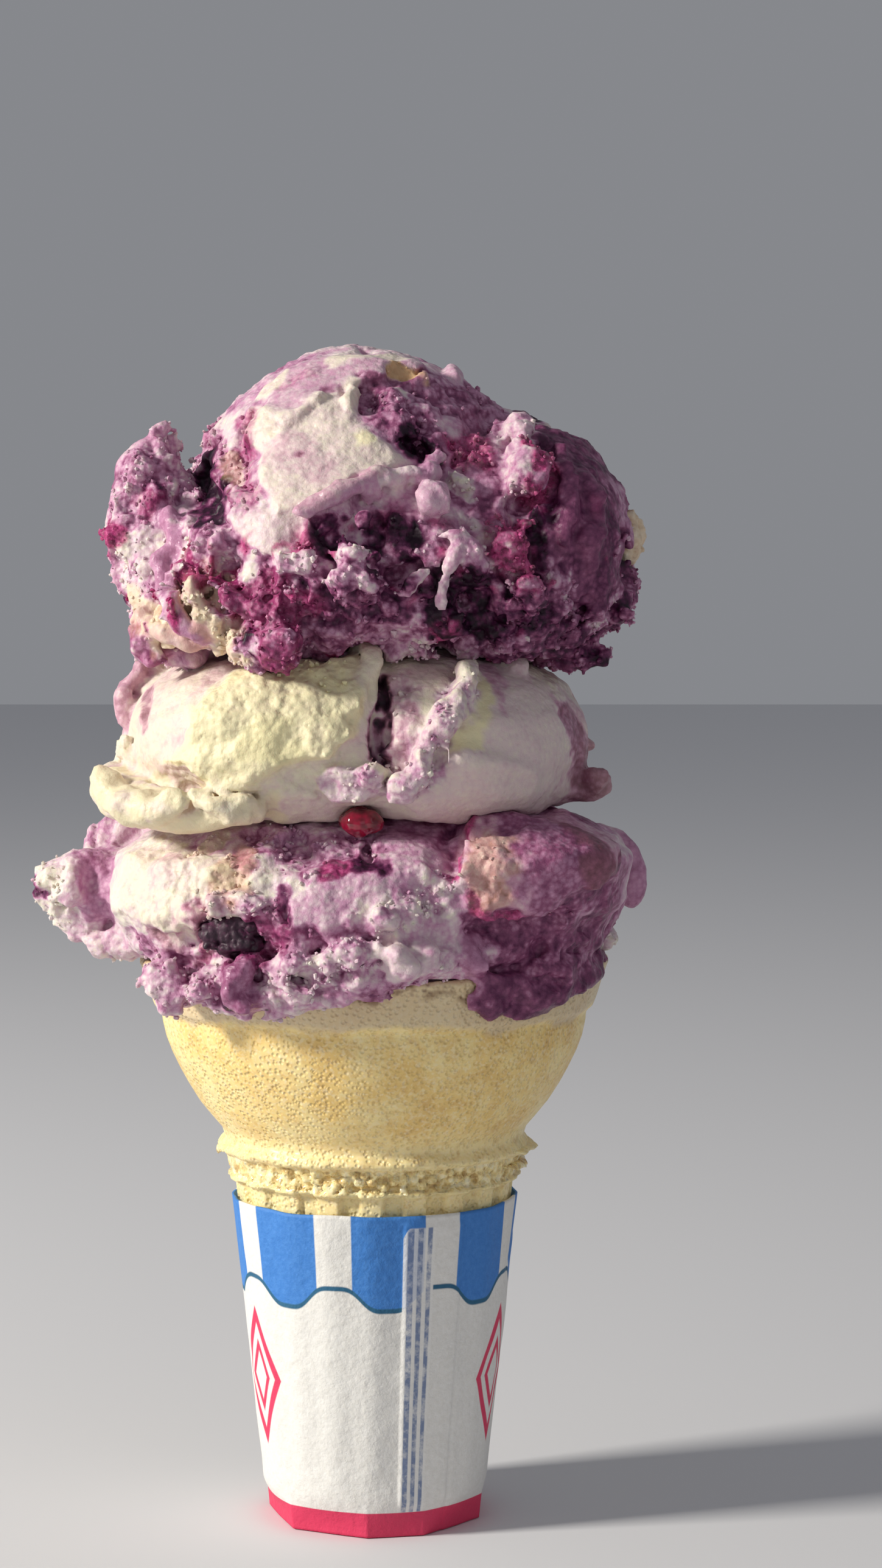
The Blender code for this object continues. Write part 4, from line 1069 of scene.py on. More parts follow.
def ice_cream_finish(name):
    finish, tree, shader, place = new_finish(name)
    look = add(tree, "ShaderNodeAttribute", attribute_name="look")
    torn = add(tree, "ShaderNodeAttribute", attribute_name="torn").outputs["Fac"]
    wet = add(tree, "ShaderNodeAttribute", attribute_name="wet").outputs["Fac"]
    parts = add(tree, "ShaderNodeSeparateColor", {"Color": look.outputs["Color"]})
    berry, butter, toast = parts.outputs
    raw = look.outputs["Alpha"]
    broken = remap(tree, torn, 0.0, 1.0, 0.35, 1.0)
    mottle = remap(tree, noise(tree, place, 1.9, 5.0, 0.7), 0.3, 0.7, -0.17, 0.17)
    specks = remap(tree, cells(tree, place, 0.8), 0.1, 0.7, -0.11, 0.11)
    unevenness = calc(tree, "MULTIPLY", calc(tree, "ADD", mottle, specks), broken)
    colour = ramp(tree, calc(tree, "ADD", berry, unevenness, clamp=True), BERRY_AND_SHADE_STEPS)
    colour = blend(tree, butter, colour, blend(tree, berry, BUTTER_TONE, colour))
    colour = blend(tree, toast, colour, TOAST_TONE)
    fruit = ramp(tree, noise(tree, place, 1.1, 4.0, 0.7), [(0.35, (0.10, 0.004, 0.03)), (0.55, RAW_TONE),
                                                            (0.72, (0.66, 0.17, 0.36))])
    colour = blend(tree, raw, colour, fruit)
    icy = remap(tree, cells(tree, place, 0.55), 0.02, 0.16, 0.22, 0.0)
    pale = remap(tree, berry, 0.40, 0.75, 1.0, 0.0)
    colour = blend(tree, calc(tree, "MULTIPLY", icy, pale), colour, FROST_TONE)
    tree.links.new(colour, shader.inputs["Base Color"])
    grain = noise(tree, place, 0.38, 3.0, 0.65)
    lumps = cells(tree, place, 0.85, "SMOOTH_F1")
    normal = bump(tree, calc(tree, "MULTIPLY", lumps, broken), 0.75, 0.55)
    normal = bump(tree, grain, 0.6, 0.16, normal)
    tree.links.new(normal, shader.inputs["Normal"])
    dry = remap(tree, grain, 0.3, 0.7, 0.40, 0.60)
    rough = calc(tree, "SUBTRACT", dry, calc(tree, "MULTIPLY", wet, 0.34))
    tree.links.new(rough, shader.inputs["Roughness"])
    shader.inputs["Subsurface Weight"].default_value = 0.18
    shader.inputs["Subsurface Radius"].default_value = (1.0, 0.6, 0.55)
    shader.inputs["Subsurface Scale"].default_value = 0.0016
    shader.inputs["IOR"].default_value = 1.35
    return finish


berry_ice = ice_cream_finish("berry_ice")
cream_ice = ice_cream_finish("cream_ice")
print("ice cream finishes:", berry_ice.name, cream_ice.name)

# %% [markdown]
# ## Two halves of each scoop
# A scoop with crumbs this fine has more triangles than one piece should. It is drawn as a front half
# and a back half, which overlap by a millimetre inside the ice cream. The back half is a hair smaller,
# so that the two skins don't lie in the same place where they overlap.

# %% Carve the scoops from the bottom up
OVERLAP = 0.6
HAIR = 0.04


def finish_piece(obj, finish, slot, *nodes):
    obj.data.materials.append(finish)
    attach(obj, "root")
    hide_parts(*nodes)


def halves_of(low, field):
    """The block cut by an upright plane through the axis: the front half, then the back half."""
    depth = ((np.arange(field.shape[1]) + low[1]) * FINE).astype(np.float32)[None, :, None]
    yield "front", np.maximum(field, depth - OVERLAP)
    yield "back", np.maximum(field + HAIR, -depth - OVERLAP)


under = [field_of(*solid_of("wafer_cone"), FINE)]
skins = []
for node, scoop, finish, slot in (("scoop_bottom", BOTTOM, berry_ice, "berry_cream"),
                                  ("scoop_middle", MIDDLE, cream_ice, "pale_cream"),
                                  ("scoop_top", TOP, berry_ice, "berry_cream")):
    low, field = carve(node, scoop, under)
    for side, half in halves_of(low, field):
        obj, look = scoop_object(f"{node}_{side}", low, half, scoop)
        finish_piece(obj, finish, slot, node)
        skins.append((obj, look))
    under = [(low, field)]

# %% [markdown]
# ## Crumbs of ice
# Where a scoop tore, crumbs smaller than the blocks can hold lie on it. They are small many-sided
# lumps, all of them one mesh: a random share of the torn skin's points gets one each, turned and
# squashed at random, in the skin's own colour or a little paler. The darker it is with berry, the
# fewer of them lie on it.

# %% Crumbs
CRUMBS = 6500
SMALLEST_CRUMB = 0.13
TORN_ENOUGH = 0.50


def lump_shape():
    """The 12 corners and 20 faces of an icosahedron, found from its golden rectangles."""
    golden = (1.0 + 5.0 ** 0.5) / 2.0
    corners = []
    for a in (-1.0, 1.0):
        for b in (-golden, golden):
            corners += [(a, b, 0.0), (0.0, a, b), (b, 0.0, a)]
    corners = np.array(corners) / math.hypot(1.0, golden)
    apart = np.linalg.norm(corners[:, None] - corners[None], axis=2)
    side = apart[apart > 0.01].min() * 1.01
    faces = []
    for i in range(12):
        for j in range(i + 1, 12):
            for k in range(j + 1, 12):
                if max(apart[i, j], apart[j, k], apart[i, k]) < side:
                    outward = np.dot(np.cross(corners[j] - corners[i], corners[k] - corners[i]), corners[i]) > 0.0
                    faces.append((i, j, k) if outward else (i, k, j))
    return corners, np.array(faces)


def skin_points(obj):
    """The points of a mesh in millimetres, and the way out at each of them."""
    mesh = obj.data
    places, normals = np.empty(3 * len(mesh.vertices), np.float32), np.empty(3 * len(mesh.vertices), np.float32)
    mesh.vertices.foreach_get("co", places)
    mesh.vertices.foreach_get("normal", normals)
    return places.reshape(-1, 3) / MM, normals.reshape(-1, 3)


def scatter_crumbs(name, skins, count, seed):
    rng = np.random.default_rng(seed)
    found = [skin_points(obj) for obj, _ in skins]
    places, normals = (np.concatenate(values) for values in zip(*found))
    look = np.concatenate([look for _, look in skins])
    inside = np.abs(places[:, 1]) < OVERLAP + 0.1
    light = np.clip(1.25 - look[:, BERRY], 0.05, 1.0)
    chance = np.clip(look[:, TORN] - TORN_ENOUGH, 0.0, 1.0) * light * ~inside
    chosen = rng.choice(len(places), count, replace=False, p=chance / chance.sum())
    corners, faces = lump_shape()
    size = SMALLEST_CRUMB * np.exp(rng.uniform(0.0, 1.2, count))
    turns = np.linalg.qr(rng.normal(size=(count, 3, 3)))[0]
    turns *= np.sign(np.linalg.det(turns))[:, None, None]
    shapes = corners[None] * rng.uniform(0.65, 1.35, (count, 12, 1)) * rng.uniform(0.7, 1.2, (count, 1, 3))
    shapes = np.einsum("nij,nkj->nki", turns, shapes) * size[:, None, None]
    centres = places[chosen] + normals[chosen] * 0.35 * size[:, None]
    points = (shapes + centres[:, None]).reshape(-1, 3)
    all_faces = (faces[None] + 12 * np.arange(count)[:, None, None]).reshape(-1, 3)
    obj = mesh_object(name, points, [all_faces])
    obj.data.shade_flat()
    own = look[chosen].copy()
    own[:, BERRY] -= rng.uniform(0.0, 0.12, count) * (own[:, BERRY] < 0.8)
    own[:, WET] = 0.1
    paint(obj, np.repeat(own, 12, axis=0))
    print(name, len(all_faces), "triangles")
    return obj


crumbs = scatter_crumbs("ice_crumbs", skins, CRUMBS, 17)
crumbs.data.materials.append(berry_ice)
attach(crumbs, "root")

# %% [markdown]
# ## Grids
# The wafer and the jacket are turned shapes with something added: ribs, folds, a torn edge. Each is a
# grid with one row for each step along the profile and one column for each step round the axis.

# %% Grid surfaces
def around(steps):
    """Angles from the front, in degrees, plus towards +X: a whole turn without its end."""
    return np.arange(steps) * 360.0 / steps - 180.0


def turned_points(radius, angle, height):
    """x = r sin a, y = -r cos a, z = h, so that angle 0 faces the camera."""
    a = np.radians(angle)
    return np.stack([radius * np.sin(a), -radius * np.cos(a), height + 0.0 * a], axis=-1)


def closed_grid(name, points):
    """Rows of points round the axis, joined into a skin whose first and last rows close on a pole."""
    rows, columns = points.shape[:2]
    index = np.arange(rows * columns).reshape(rows, columns)
    after = np.roll(index, -1, axis=1)
    quads = np.stack([index[:-1], after[:-1], after[1:], index[1:]], axis=-1).reshape(-1, 4)
    poles = np.stack([points[0].mean(axis=0), points[-1].mean(axis=0)])
    first, last = rows * columns, rows * columns + 1
    fan_a = np.stack([after[0], index[0], np.full(columns, first)], axis=-1)
    fan_b = np.stack([index[-1], after[-1], np.full(columns, last)], axis=-1)
    all_points = np.concatenate([points.reshape(-1, 3), poles])
    triangles = np.concatenate([fan_a, fan_b])
    if volume_of(all_points, np.concatenate([triangles, quads[:, :3], quads[:, [0, 2, 3]]])) < 0.0:
        triangles, quads = triangles[:, ::-1], quads[:, ::-1]
    return mesh_object(name, all_points, [triangles, quads])


def along_profile(corners, step):
    """Points every `step` millimetres along a profile of (radius, height) corners."""
    corners = np.array(corners, float)
    lengths = np.concatenate(([0.0], np.cumsum(np.linalg.norm(np.diff(corners, axis=0), axis=1))))
    stops = np.arange(0.0, lengths[-1] + step / 2, step)
    return np.interp(stops, lengths, corners[:, 0]), np.interp(stops, lengths, corners[:, 1])


print("grid helpers ready")

# %% [markdown]
# ## The wafer
# A baked cone of this kind is pale gold and finely pitted, with a step below its rim, a moulding seam
# on its right, and square ribs round its stem. Above the jacket its flange was torn off, and the
# break shows the open, glassy crumb inside.

# %% Wafer
JACKET_TOP = 44.1
JACKET_TOP_RADIUS = 19.5
JACKET_BASE_RADIUS = 14.8
RIBS = 20
SEAM_ANGLE = 32.5
CRUMB_FROM, LIP_FROM, LIP_TO = 46.9, 49.9, 51.6


def jacket_radius(height):
    return JACKET_BASE_RADIUS + (JACKET_TOP_RADIUS - JACKET_BASE_RADIUS) * height / JACKET_TOP


def near_angle(angle, centre, width):
    """1 at the centre angle, easing to 0 at the width."""
    away = np.abs((angle - centre + 180.0) % 360.0 - 180.0)
    return 1.0 - ease(away / width)


STEM_PROFILE = [
    (0.3, 0.9), (12.6, 0.9), (jacket_radius(6.6) - 1.7, 6.6), (jacket_radius(12.0) - 0.8, 12.0),
    (jacket_radius(42.0) - 0.8, 42.0),
]
OPEN_PROFILE = [
    (jacket_radius(42.0) - 0.8, 42.0), (jacket_radius(46.2) - 0.8, 46.2), (19.4, 46.5), (19.9, 46.7), (20.1, 47.0),
    (19.9, 47.3), (20.1, 49.0), (20.4, 50.2), (21.0, 50.6), (21.2, 51.1), (20.8, 51.8), (20.4, 52.4), (20.8, 53.6),
    (22.2, 55.2), (23.8, 57.2), (25.3, 59.6), (26.4, 61.6), (27.5, 63.9), (28.3, 66.0), (28.75, 68.0), (28.9, 69.3),
    (29.2, 69.7), (29.9, 70.3), (30.4, 71.6), (31.2, 74.2), (31.9, 76.0), (31.75, 76.5), (31.3, 76.7), (30.5, 76.6),
]
INSIDE_PROFILE = [
    (30.5, 76.6), (30.1, 75.8), (27.2, 68.0), (26.2, 65.6), (24.3, 62.2), (21.6, 58.2), (12.0, 55.6), (0.3, 55.6),
]


def wafer_points(columns):
    """The open part, which is seen closely, has the finest rows."""
    parts = [along_profile(corners, step) for corners, step in ((STEM_PROFILE, 1.2), (OPEN_PROFILE, 0.34),
                                                                (INSIDE_PROFILE, 1.3))]
    radius, height = (np.concatenate(values) for values in zip(*parts))
    angle = np.broadcast_to(around(columns), (len(radius), columns))
    radius = np.repeat(radius[:, None], columns, axis=1)
    height = np.repeat(height[:, None], columns, axis=1)
    outside = (np.arange(len(radius)) < np.argmax(height[:, 0]))[:, None]
    place = turned_points(radius, angle, height).reshape(-1, 3)

    def hills(size, seed):
        return smooth_noise(place, size, seed).reshape(radius.shape)

    stem = outside & (height < CRUMB_FROM)
    ribs = ease((np.cos(np.radians(angle * RIBS)) + 0.35) / 0.35)
    radius = radius - np.where(stem, 0.75 * (1.0 - ribs) * ease((height - 6.0) / 3.0), 0.0)
    crumb = outside * ease((height - CRUMB_FROM) / 0.5) * (1.0 - ease((height - LIP_FROM) / 0.7))
    lip = outside * ease((height - LIP_FROM) / 0.7) * (1.0 - ease((height - LIP_TO) / 1.0))
    bubbles = 1.0 - clump_noise(place, 1.3, 7).reshape(radius.shape)
    open_crumb = 0.35 + 0.65 * near_angle(angle, 6.0, 75.0)
    radius = radius - crumb * open_crumb * (0.35 + 0.95 * ease((bubbles - 0.20) / 0.45))
    radius = radius + (crumb + lip) * 0.28 * hills(2.6, 5) + lip * 0.16 * hills(1.0, 6)
    height = height + lip * 0.30 * hills(3.2, 8)
    bowl = outside * ease((height - 52.5) / 3.0)
    seam = near_angle(angle, SEAM_ANGLE, 1.3) * bowl
    radius = radius + bowl * (0.16 * hills(14.0, 1) + 0.05 * hills(3.0, 2)) + 0.14 * seam
    rim = ease((height - 75.4) / 1.0)
    height = height + rim * (0.30 * hills(5.0, 3) + 0.18 * hills(1.4, 4))
    return turned_points(radius, angle, height)


wafer = closed_grid("wafer", wafer_points(440))
print("wafer:", len(wafer.data.polygons), "faces")

# %% [markdown]
# ## The wafer's finish
# Its gold is uneven: paler where the batter was thick, browner low on the bowl and along edges. A film
# of melt has left the band under the rim paler and duller. The pits are bump.

# %% Wafer finish
WAFER_PALE = (0.94, 0.76, 0.35)
WAFER_GOLD = (0.86, 0.61, 0.21)
WAFER_BROWN = (0.62, 0.36, 0.11)
WAFER_FILM = (0.62, 0.52, 0.38)
WAFER_GRAIN = (0.95, 0.83, 0.56)
CRUMB_GLASS = [(0.36, (0.52, 0.33, 0.11)), (0.50, (0.92, 0.74, 0.34)), (0.64, (0.97, 0.88, 0.60))]
RIM_DARK_BROWN = (0.20, 0.095, 0.04)


def wafer_finish():
    finish, tree, shader, place = new_finish("baked_wafer")
    broad = noise(tree, place, 9.0, 4.0, 0.62)
    colour = ramp(tree, broad, [(0.38, WAFER_PALE), (0.56, WAFER_GOLD), (0.80, WAFER_BROWN)])
    height = add(tree, "ShaderNodeSeparateXYZ", {0: place}).outputs["Z"]
    waves = remap(tree, noise(tree, place, 9.0, 3.0), 0.35, 0.65, -0.0013, 0.0013)
    wandering = calc(tree, "ADD", height, waves)
    neck = remap(tree, height, 0.0560, 0.0525)
    colour = blend(tree, calc(tree, "MULTIPLY", neck, 0.8), colour, (0.92, 0.77, 0.40))
    freckles = remap(tree, noise(tree, place, 1.6, 4.0, 0.7), 0.50, 0.72, 0.0, 0.5)
    colour = blend(tree, freckles, colour, WAFER_BROWN)
    pale_grain = remap(tree, noise(tree, place, 0.5, 2.0), 0.48, 0.70, 0.0, 0.5)
    colour = blend(tree, pale_grain, colour, WAFER_GRAIN)
    crumb = calc(tree, "MULTIPLY", remap(tree, height, 0.0504, 0.0500), remap(tree, height, 0.0470, 0.0474))
    glass = ramp(tree, noise(tree, place, 1.3, 3.0, 0.6), CRUMB_GLASS)
    colour = blend(tree, calc(tree, "MULTIPLY", crumb, 0.85), colour, glass)
    film = remap(tree, wandering, 0.0695, 0.0706, 0.0, 0.66)
    colour = blend(tree, film, colour, WAFER_FILM)
    # Dark brown patches in a band near the top of the rim.
    rim_patches = calc(tree, "MULTIPLY", remap(tree, wandering, 0.0742, 0.0752),
                   remap(tree, noise(tree, place, 4.0, 3.0, 0.6), 0.50, 0.60, 0.0, 0.85))
    colour = blend(tree, rim_patches, colour, RIM_DARK_BROWN)
    tree.links.new(colour, shader.inputs["Base Color"])
    pits = remap(tree, cells(tree, place, 0.66), 0.0, 0.50)
    normal = bump(tree, pits, 0.9, 0.22)
    normal = bump(tree, noise(tree, place, 2.2, 4.0), 0.45, 0.4, normal)
    tree.links.new(normal, shader.inputs["Normal"])
    dry = remap(tree, noise(tree, place, 1.2, 3.0), 0.3, 0.7, 0.30, 0.55)
    tree.links.new(calc(tree, "SUBTRACT", dry, calc(tree, "MULTIPLY", crumb, 0.24)), shader.inputs["Roughness"])
    shader.inputs["Subsurface Weight"].default_value = 0.15
    shader.inputs["Subsurface Radius"].default_value = (1.0, 0.6, 0.3)
    shader.inputs["Subsurface Scale"].default_value = 0.0015
    return finish


wafer_look = wafer_finish()
finish_piece(wafer, wafer_look, "wafer", "wafer_cone")
print("wafer dressed")

# %% [markdown]
# ## The torn flange's thin edge
# Shreds of crust stand out from the flange where it broke, longest at the far left, where one curls
# down like a hook, and at the far right. Each is a thin sheet: one parameter runs along the break and
# the other from the root to the ragged end, whose distance from the root is noise.

# %% Shreds
def shred(name, start, end, root, reach, bend, seed):
    """Radius and height follow an arc of `bend` degrees; its length is the reach times noise."""
    columns, rows = int((end - start) * 3.0), 9
    angle = np.linspace(start, end, columns)[None, :]
    share = np.linspace(0.0, 1.0, rows)[:, None]
    ring = turned_points(np.full(columns, root[0]), angle[0], np.full(columns, root[1]))
    ragged = 0.70 + 0.45 * smooth_noise(ring, 2.2, seed) + 0.22 * smooth_noise(ring, 0.9, seed + 1)
    ends = np.sin(np.pi * (angle - start) / (end - start)) ** 0.7
    length = reach * np.clip(ragged, 0.1, 1.3)[None, :] * ends
    turn = np.radians(bend) * share
    radius = root[0] - 0.5 + (length + 0.5) * np.sin(turn) / turn.max() * 1.1
    height = root[1] + length * (1.0 - np.cos(turn)) / turn.max() * -1.1 + 0.25 * ragged[None, :] * share
    points = turned_points(radius, np.broadcast_to(angle, radius.shape), height)
    index = np.arange(rows * columns).reshape(rows, columns)
    quads = np.stack([index[:-1, :-1], index[:-1, 1:], index[1:, 1:], index[1:, :-1]], axis=-1).reshape(-1, 4)
    obj = mesh_object(name, points.reshape(-1, 3), [quads])
    wall = obj.modifiers.new("thickness", "SOLIDIFY")
    wall.thickness = 0.34 * MM
    wall.offset = 0.0
    obj.data.materials.append(wafer_look)
    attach(obj, "root")
    return obj


shreds = [shred("shred_left", -112.0, -70.0, (20.6, 51.0), 2.5, 125.0, 71),
          shred("shred_right_high", 56.0, 108.0, (20.6, 51.2), 2.0, 60.0, 74),
          shred("shred_right_low", 60.0, 104.0, (20.0, 49.0), 1.8, 95.0, 77)]
print("shreds:", len(shreds))

# %% [markdown]
# ## The paper jacket
# A strip of white paper is wrapped into a tapered sleeve with a lap seam at the front right. The
# stem's ribs press faint flats into it, its foot is folded in with hard corners, and its print is an
# awning of blue stripes, a plain field and a band of pink-red at the foot.

# %% Jacket
FOOT_CORNERS = (-47.0, -3.0, 27.0, 73.0, 120.0, 168.0, 212.0, 260.0)
PAPER = 0.35
LAP_FROM, LAP_TO = 12.6, 38.5
UNDER_LAP = 41.0


def folded(angle):
    """Radius as a share of the round one: a straight chord between each corner and the next."""
    corners = np.array(FOOT_CORNERS + (FOOT_CORNERS[0] + 360.0,))
    turn = (angle - corners[0]) % 360.0
    edges = corners - corners[0]
    after = np.clip(np.searchsorted(edges, turn, side="right"), 1, len(edges) - 1)
    half = (edges[after] - edges[after - 1]) / 2
    return np.cos(np.radians(half)) / np.cos(np.radians(turn - edges[after - 1] - half))


def jacket_points(columns):
    outer = along_profile([(0.3, 0.0), (JACKET_BASE_RADIUS, 0.0)], 1.4)
    heights = np.concatenate(([0.15, 0.5], np.arange(1.0, JACKET_TOP, 0.6), [JACKET_TOP]))
    wall = (jacket_radius(heights), heights)
    inside = (jacket_radius(heights[::-6]) - PAPER, np.maximum(heights[::-6], PAPER + 0.1))
    radius = np.concatenate([outer[0], wall[0], inside[0], [0.3]])
    height = np.concatenate([outer[1], wall[1], inside[1], [PAPER + 0.1]])
    angle = np.broadcast_to(around(columns), (len(radius), columns))
    radius, height = radius[:, None], height[:, None]
    fold = (1.0 - ease((height - 1.2) / 4.4)) * 0.95
    shape = 1.0 + fold * (folded(angle) - 1.0)
    flats = 0.07 * (1.0 - np.cos(np.radians(angle * RIBS))) * ease((height - 5.0) / 4.0)
    lap = 0.20 * ease((angle - LAP_FROM) / 0.8) * (1.0 - ease((angle - LAP_TO) / 0.8))
    lap = lap * (1.0 - ease((height - 42.6) / 0.7)) * ease((height - 3.8) / 0.8)
    under_lap = ease((angle - UNDER_LAP) / 0.6) * (1.0 - ease((angle - UNDER_LAP - 40.0) / 30.0))
    lap = lap + 0.14 * under_lap * (1.0 - ease((height - 20.0 - 0.36 * (angle - UNDER_LAP)) / 0.8))
    place = turned_points(radius * shape, angle, height).reshape(-1, 3)
    dents = smooth_noise(place, 9.0, 3) * 0.14 + smooth_noise(place, 3.0, 4) * 0.05
    radius = radius * shape - flats + lap + dents.reshape(shape.shape) * (radius > 5.0)
    height = height + 0.0 * angle
    top_edge = ease((height - 42.5) / 1.5) * 0.16 * smooth_noise(place, 6.0, 5).reshape(shape.shape)
    return turned_points(radius, angle, np.maximum(height + top_edge, 0.0))


jacket = closed_grid("jacket", jacket_points(480))
print("jacket:", len(jacket.data.polygons), "faces")

# %% [markdown]
# ## The print
# Everything printed is worked out from two numbers, the angle round the jacket and the height on it.
# Stripes repeat every 45 degrees and end in a scalloped edge. Lower down, where a label would be, is a
# plain double lozenge. The lap seam has three thin lines where the stripes' ink was trimmed.

# %% Print and paper
STRIPE_EVERY = 45.0
STRIPE_CENTRE = 6.6
STRIPE_HALF = 14.9
SCALLOP_HEIGHT = 32.8
SCALLOP_RISE = 1.5
BAND_TOP = 3.5
INK_BLUE = (0.036, 0.190, 0.560)
INK_EDGE = (0.014, 0.110, 0.210)
INK_RED = (0.680, 0.035, 0.110)
PAPER_WHITE = (0.80, 0.79, 0.76)


def paper_finish():
    finish, tree, shader, place = new_finish("jacket_paper")
    parts = add(tree, "ShaderNodeSeparateXYZ", {0: place})
    x, y, z = parts.outputs
    angle = calc(tree, "DEGREES", calc(tree, "ARCTAN2", x, calc(tree, "MULTIPLY", y, -1.0)))
    height = calc(tree, "DIVIDE", z, MM)

    def within(value, centre, half, soft):
        """1 where the value is within half of the centre, with a soft edge."""
        away = calc(tree, "ABSOLUTE", calc(tree, "SUBTRACT", value, centre))
        return remap(tree, away, half + soft, half - soft)

    wrapped = calc(tree, "WRAP", calc(tree, "SUBTRACT", angle, STRIPE_CENTRE), STRIPE_EVERY / 2,
                   -STRIPE_EVERY / 2)
    stripe = within(wrapped, 0.0, STRIPE_HALF, 0.25)
    wave = calc(tree, "COSINE", calc(tree, "RADIANS", calc(tree, "MULTIPLY", wrapped, 360.0 / STRIPE_EVERY)))
    cubed = calc(tree, "POWER", calc(tree, "ABSOLUTE", wave), 3.0)
    signed = calc(tree, "MULTIPLY", cubed, calc(tree, "SIGN", wave))
    rounded = calc(tree, "SUBTRACT", calc(tree, "MULTIPLY", wave, 1.55), calc(tree, "MULTIPLY", signed, 0.55))
    scallop = calc(tree, "SUBTRACT", SCALLOP_HEIGHT, calc(tree, "MULTIPLY", rounded, SCALLOP_RISE))
    above = calc(tree, "SUBTRACT", height, scallop)
    awning = calc(tree, "MULTIPLY", stripe, remap(tree, above, -0.08, 0.08))
    outline = within(above, 0.0, 0.33, 0.10)
    fibre = noise(tree, place, 0.7, 4.0, 0.7)
    paper = blend(tree, remap(tree, fibre, 0.35, 0.65, 0.0, 0.6), PAPER_WHITE, (0.70, 0.68, 0.63))
    worn_blue = blend(tree, remap(tree, fibre, 0.42, 0.68, 0.0, 0.65), INK_BLUE, (0.075, 0.26, 0.66))
    colour = blend(tree, awning, paper, worn_blue)
    colour = blend(tree, outline, colour, INK_EDGE)

    def lozenge(centre_angle, centre_height, half_turn, half_height):
        """Two diamonds, one inside the other: the sum of the two shares of the way out is 1 on a diamond."""
        across = calc(tree, "ABSOLUTE", calc(tree, "SUBTRACT", angle, centre_angle))
        up = calc(tree, "ABSOLUTE", calc(tree, "SUBTRACT", height, centre_height))
        out = calc(tree, "ADD", calc(tree, "DIVIDE", across, half_turn), calc(tree, "DIVIDE", up, half_height))
        return calc(tree, "MAXIMUM", within(out, 1.0, 0.14, 0.02), within(out, 0.50, 0.10, 0.02))

    for centre in (-64.0, 71.0, 161.0):
        colour = blend(tree, lozenge(centre, 20.5, 15.0, 8.4), colour, INK_RED)
    rounding = calc(tree, "MAXIMUM", calc(tree, "SUBTRACT", 15.6, angle), 0.0)
    strip_top = calc(tree, "SUBTRACT", 42.5, calc(tree, "MULTIPLY", calc(tree, "POWER", rounding, 2.0), 0.16))
    under_top = remap(tree, calc(tree, "SUBTRACT", height, strip_top), 0.1, -0.1)
    lap_side = calc(tree, "MULTIPLY", remap(tree, height, 3.4, 3.6), under_top)
    strip = calc(tree, "MULTIPLY", within(angle, 19.3, 6.6, 0.2), lap_side)
    colour = blend(tree, strip, colour, blend(tree, calc(tree, "MULTIPLY", awning, 0.24), PAPER_WHITE, INK_BLUE))
    for centre, half in ((15.6, 1.25), (19.6, 1.1), (23.6, 1.0)):
        line = calc(tree, "MULTIPLY", within(angle, centre, half, 0.2), lap_side)
        broken = remap(tree, noise(tree, place, 1.8, 4.0, 0.7), 0.34, 0.56, 0.15, 0.80)
        colour = blend(tree, calc(tree, "MULTIPLY", line, broken), colour, (0.040, 0.110, 0.30))
    colour = blend(tree, remap(tree, height, BAND_TOP + 0.06, BAND_TOP - 0.06), colour, INK_RED)
    tree.links.new(colour, shader.inputs["Base Color"])
    normal = bump(tree, fibre, 0.7, 0.16)
    normal = bump(tree, noise(tree, place, 1.7, 3.0), 0.6, 0.30, normal)
    normal = bump(tree, noise(tree, place, 5.0, 3.0), 0.35, 0.7, normal)
    tree.links.new(normal, shader.inputs["Normal"])
    tree.links.new(remap(tree, fibre, 0.3, 0.7, 0.55, 0.72), shader.inputs["Roughness"])
    return finish


finish_piece(jacket, paper_finish(), "jacket_paper", "paper_jacket")
print("jacket dressed")

# %% [markdown]
# ## Berries, jelly and crust
# The pieces as large as a berry are their own solids. They are carved like the scoops, in a finer
# block: the blueberry wrinkled, the jelly smooth and wet, the crust all crumb. The solids of the
# blueberry and the left crust hang lower than the real pieces, so these two are trimmed below.

# %% Small pieces
TINY = 0.20
SKIN_REACH = 1.3
PIXELS_PER_MM = 12.0
BERRY_FOOT = 1566.0
CRUST_FOOT = 1068.0


def cut_below(low, field, row):
    """Whatever shows below this row of the photograph's pixels is cut away, along a line that wanders."""
    where, places = near_surface(low, field, np.inf, TINY)
    below = (photo_of(places)[1] - row) / PIXELS_PER_MM + 0.7 * smooth_noise(places, 2.2, 61)
    field[where] = np.maximum(field[where], below)


def small_piece(node, name, finish, slot, reliefs, foot=None):
    """reliefs: (clump size, rise, seed) for each layer, in millimetres. foot: the row where it ends."""
    low, field = field_of(*solid_of(node), TINY)
    where, places = near_surface(low, field, SKIN_REACH, TINY)
    for size, rise, seed in reliefs:
        field[where] -= rise * (clump_noise(stirred(places, size, 0.3 * size, seed), size, seed) - 0.55)
    if foot is not None:
        cut_below(low, field, foot)
    points, triangles, quads = surface_of(low, field, TINY)
    if volume_of(points, quads[:, :3]) < 0.0:
        quads = quads[:, ::-1]
    obj = mesh_object(name, points, [triangles, quads])
    finish_piece(obj, finish, slot, node)
    print(name, 2 * len(quads), "triangles")


def berry_finish():
    finish, tree, shader, place = new_finish("berry_skin")
    bloom = noise(tree, place, 1.6, 4.0, 0.7)
    colour = ramp(tree, bloom, [(0.30, (0.010, 0.003, 0.010)), (0.56, (0.045, 0.010, 0.030)),
                                (0.72, (0.17, 0.03, 0.10))])
    tree.links.new(colour, shader.inputs["Base Color"])
    tree.links.new(bump(tree, noise(tree, place, 0.9, 3.0), 0.6, 0.3), shader.inputs["Normal"])
    tree.links.new(remap(tree, bloom, 0.3, 0.7, 0.42, 0.7), shader.inputs["Roughness"])
    return finish


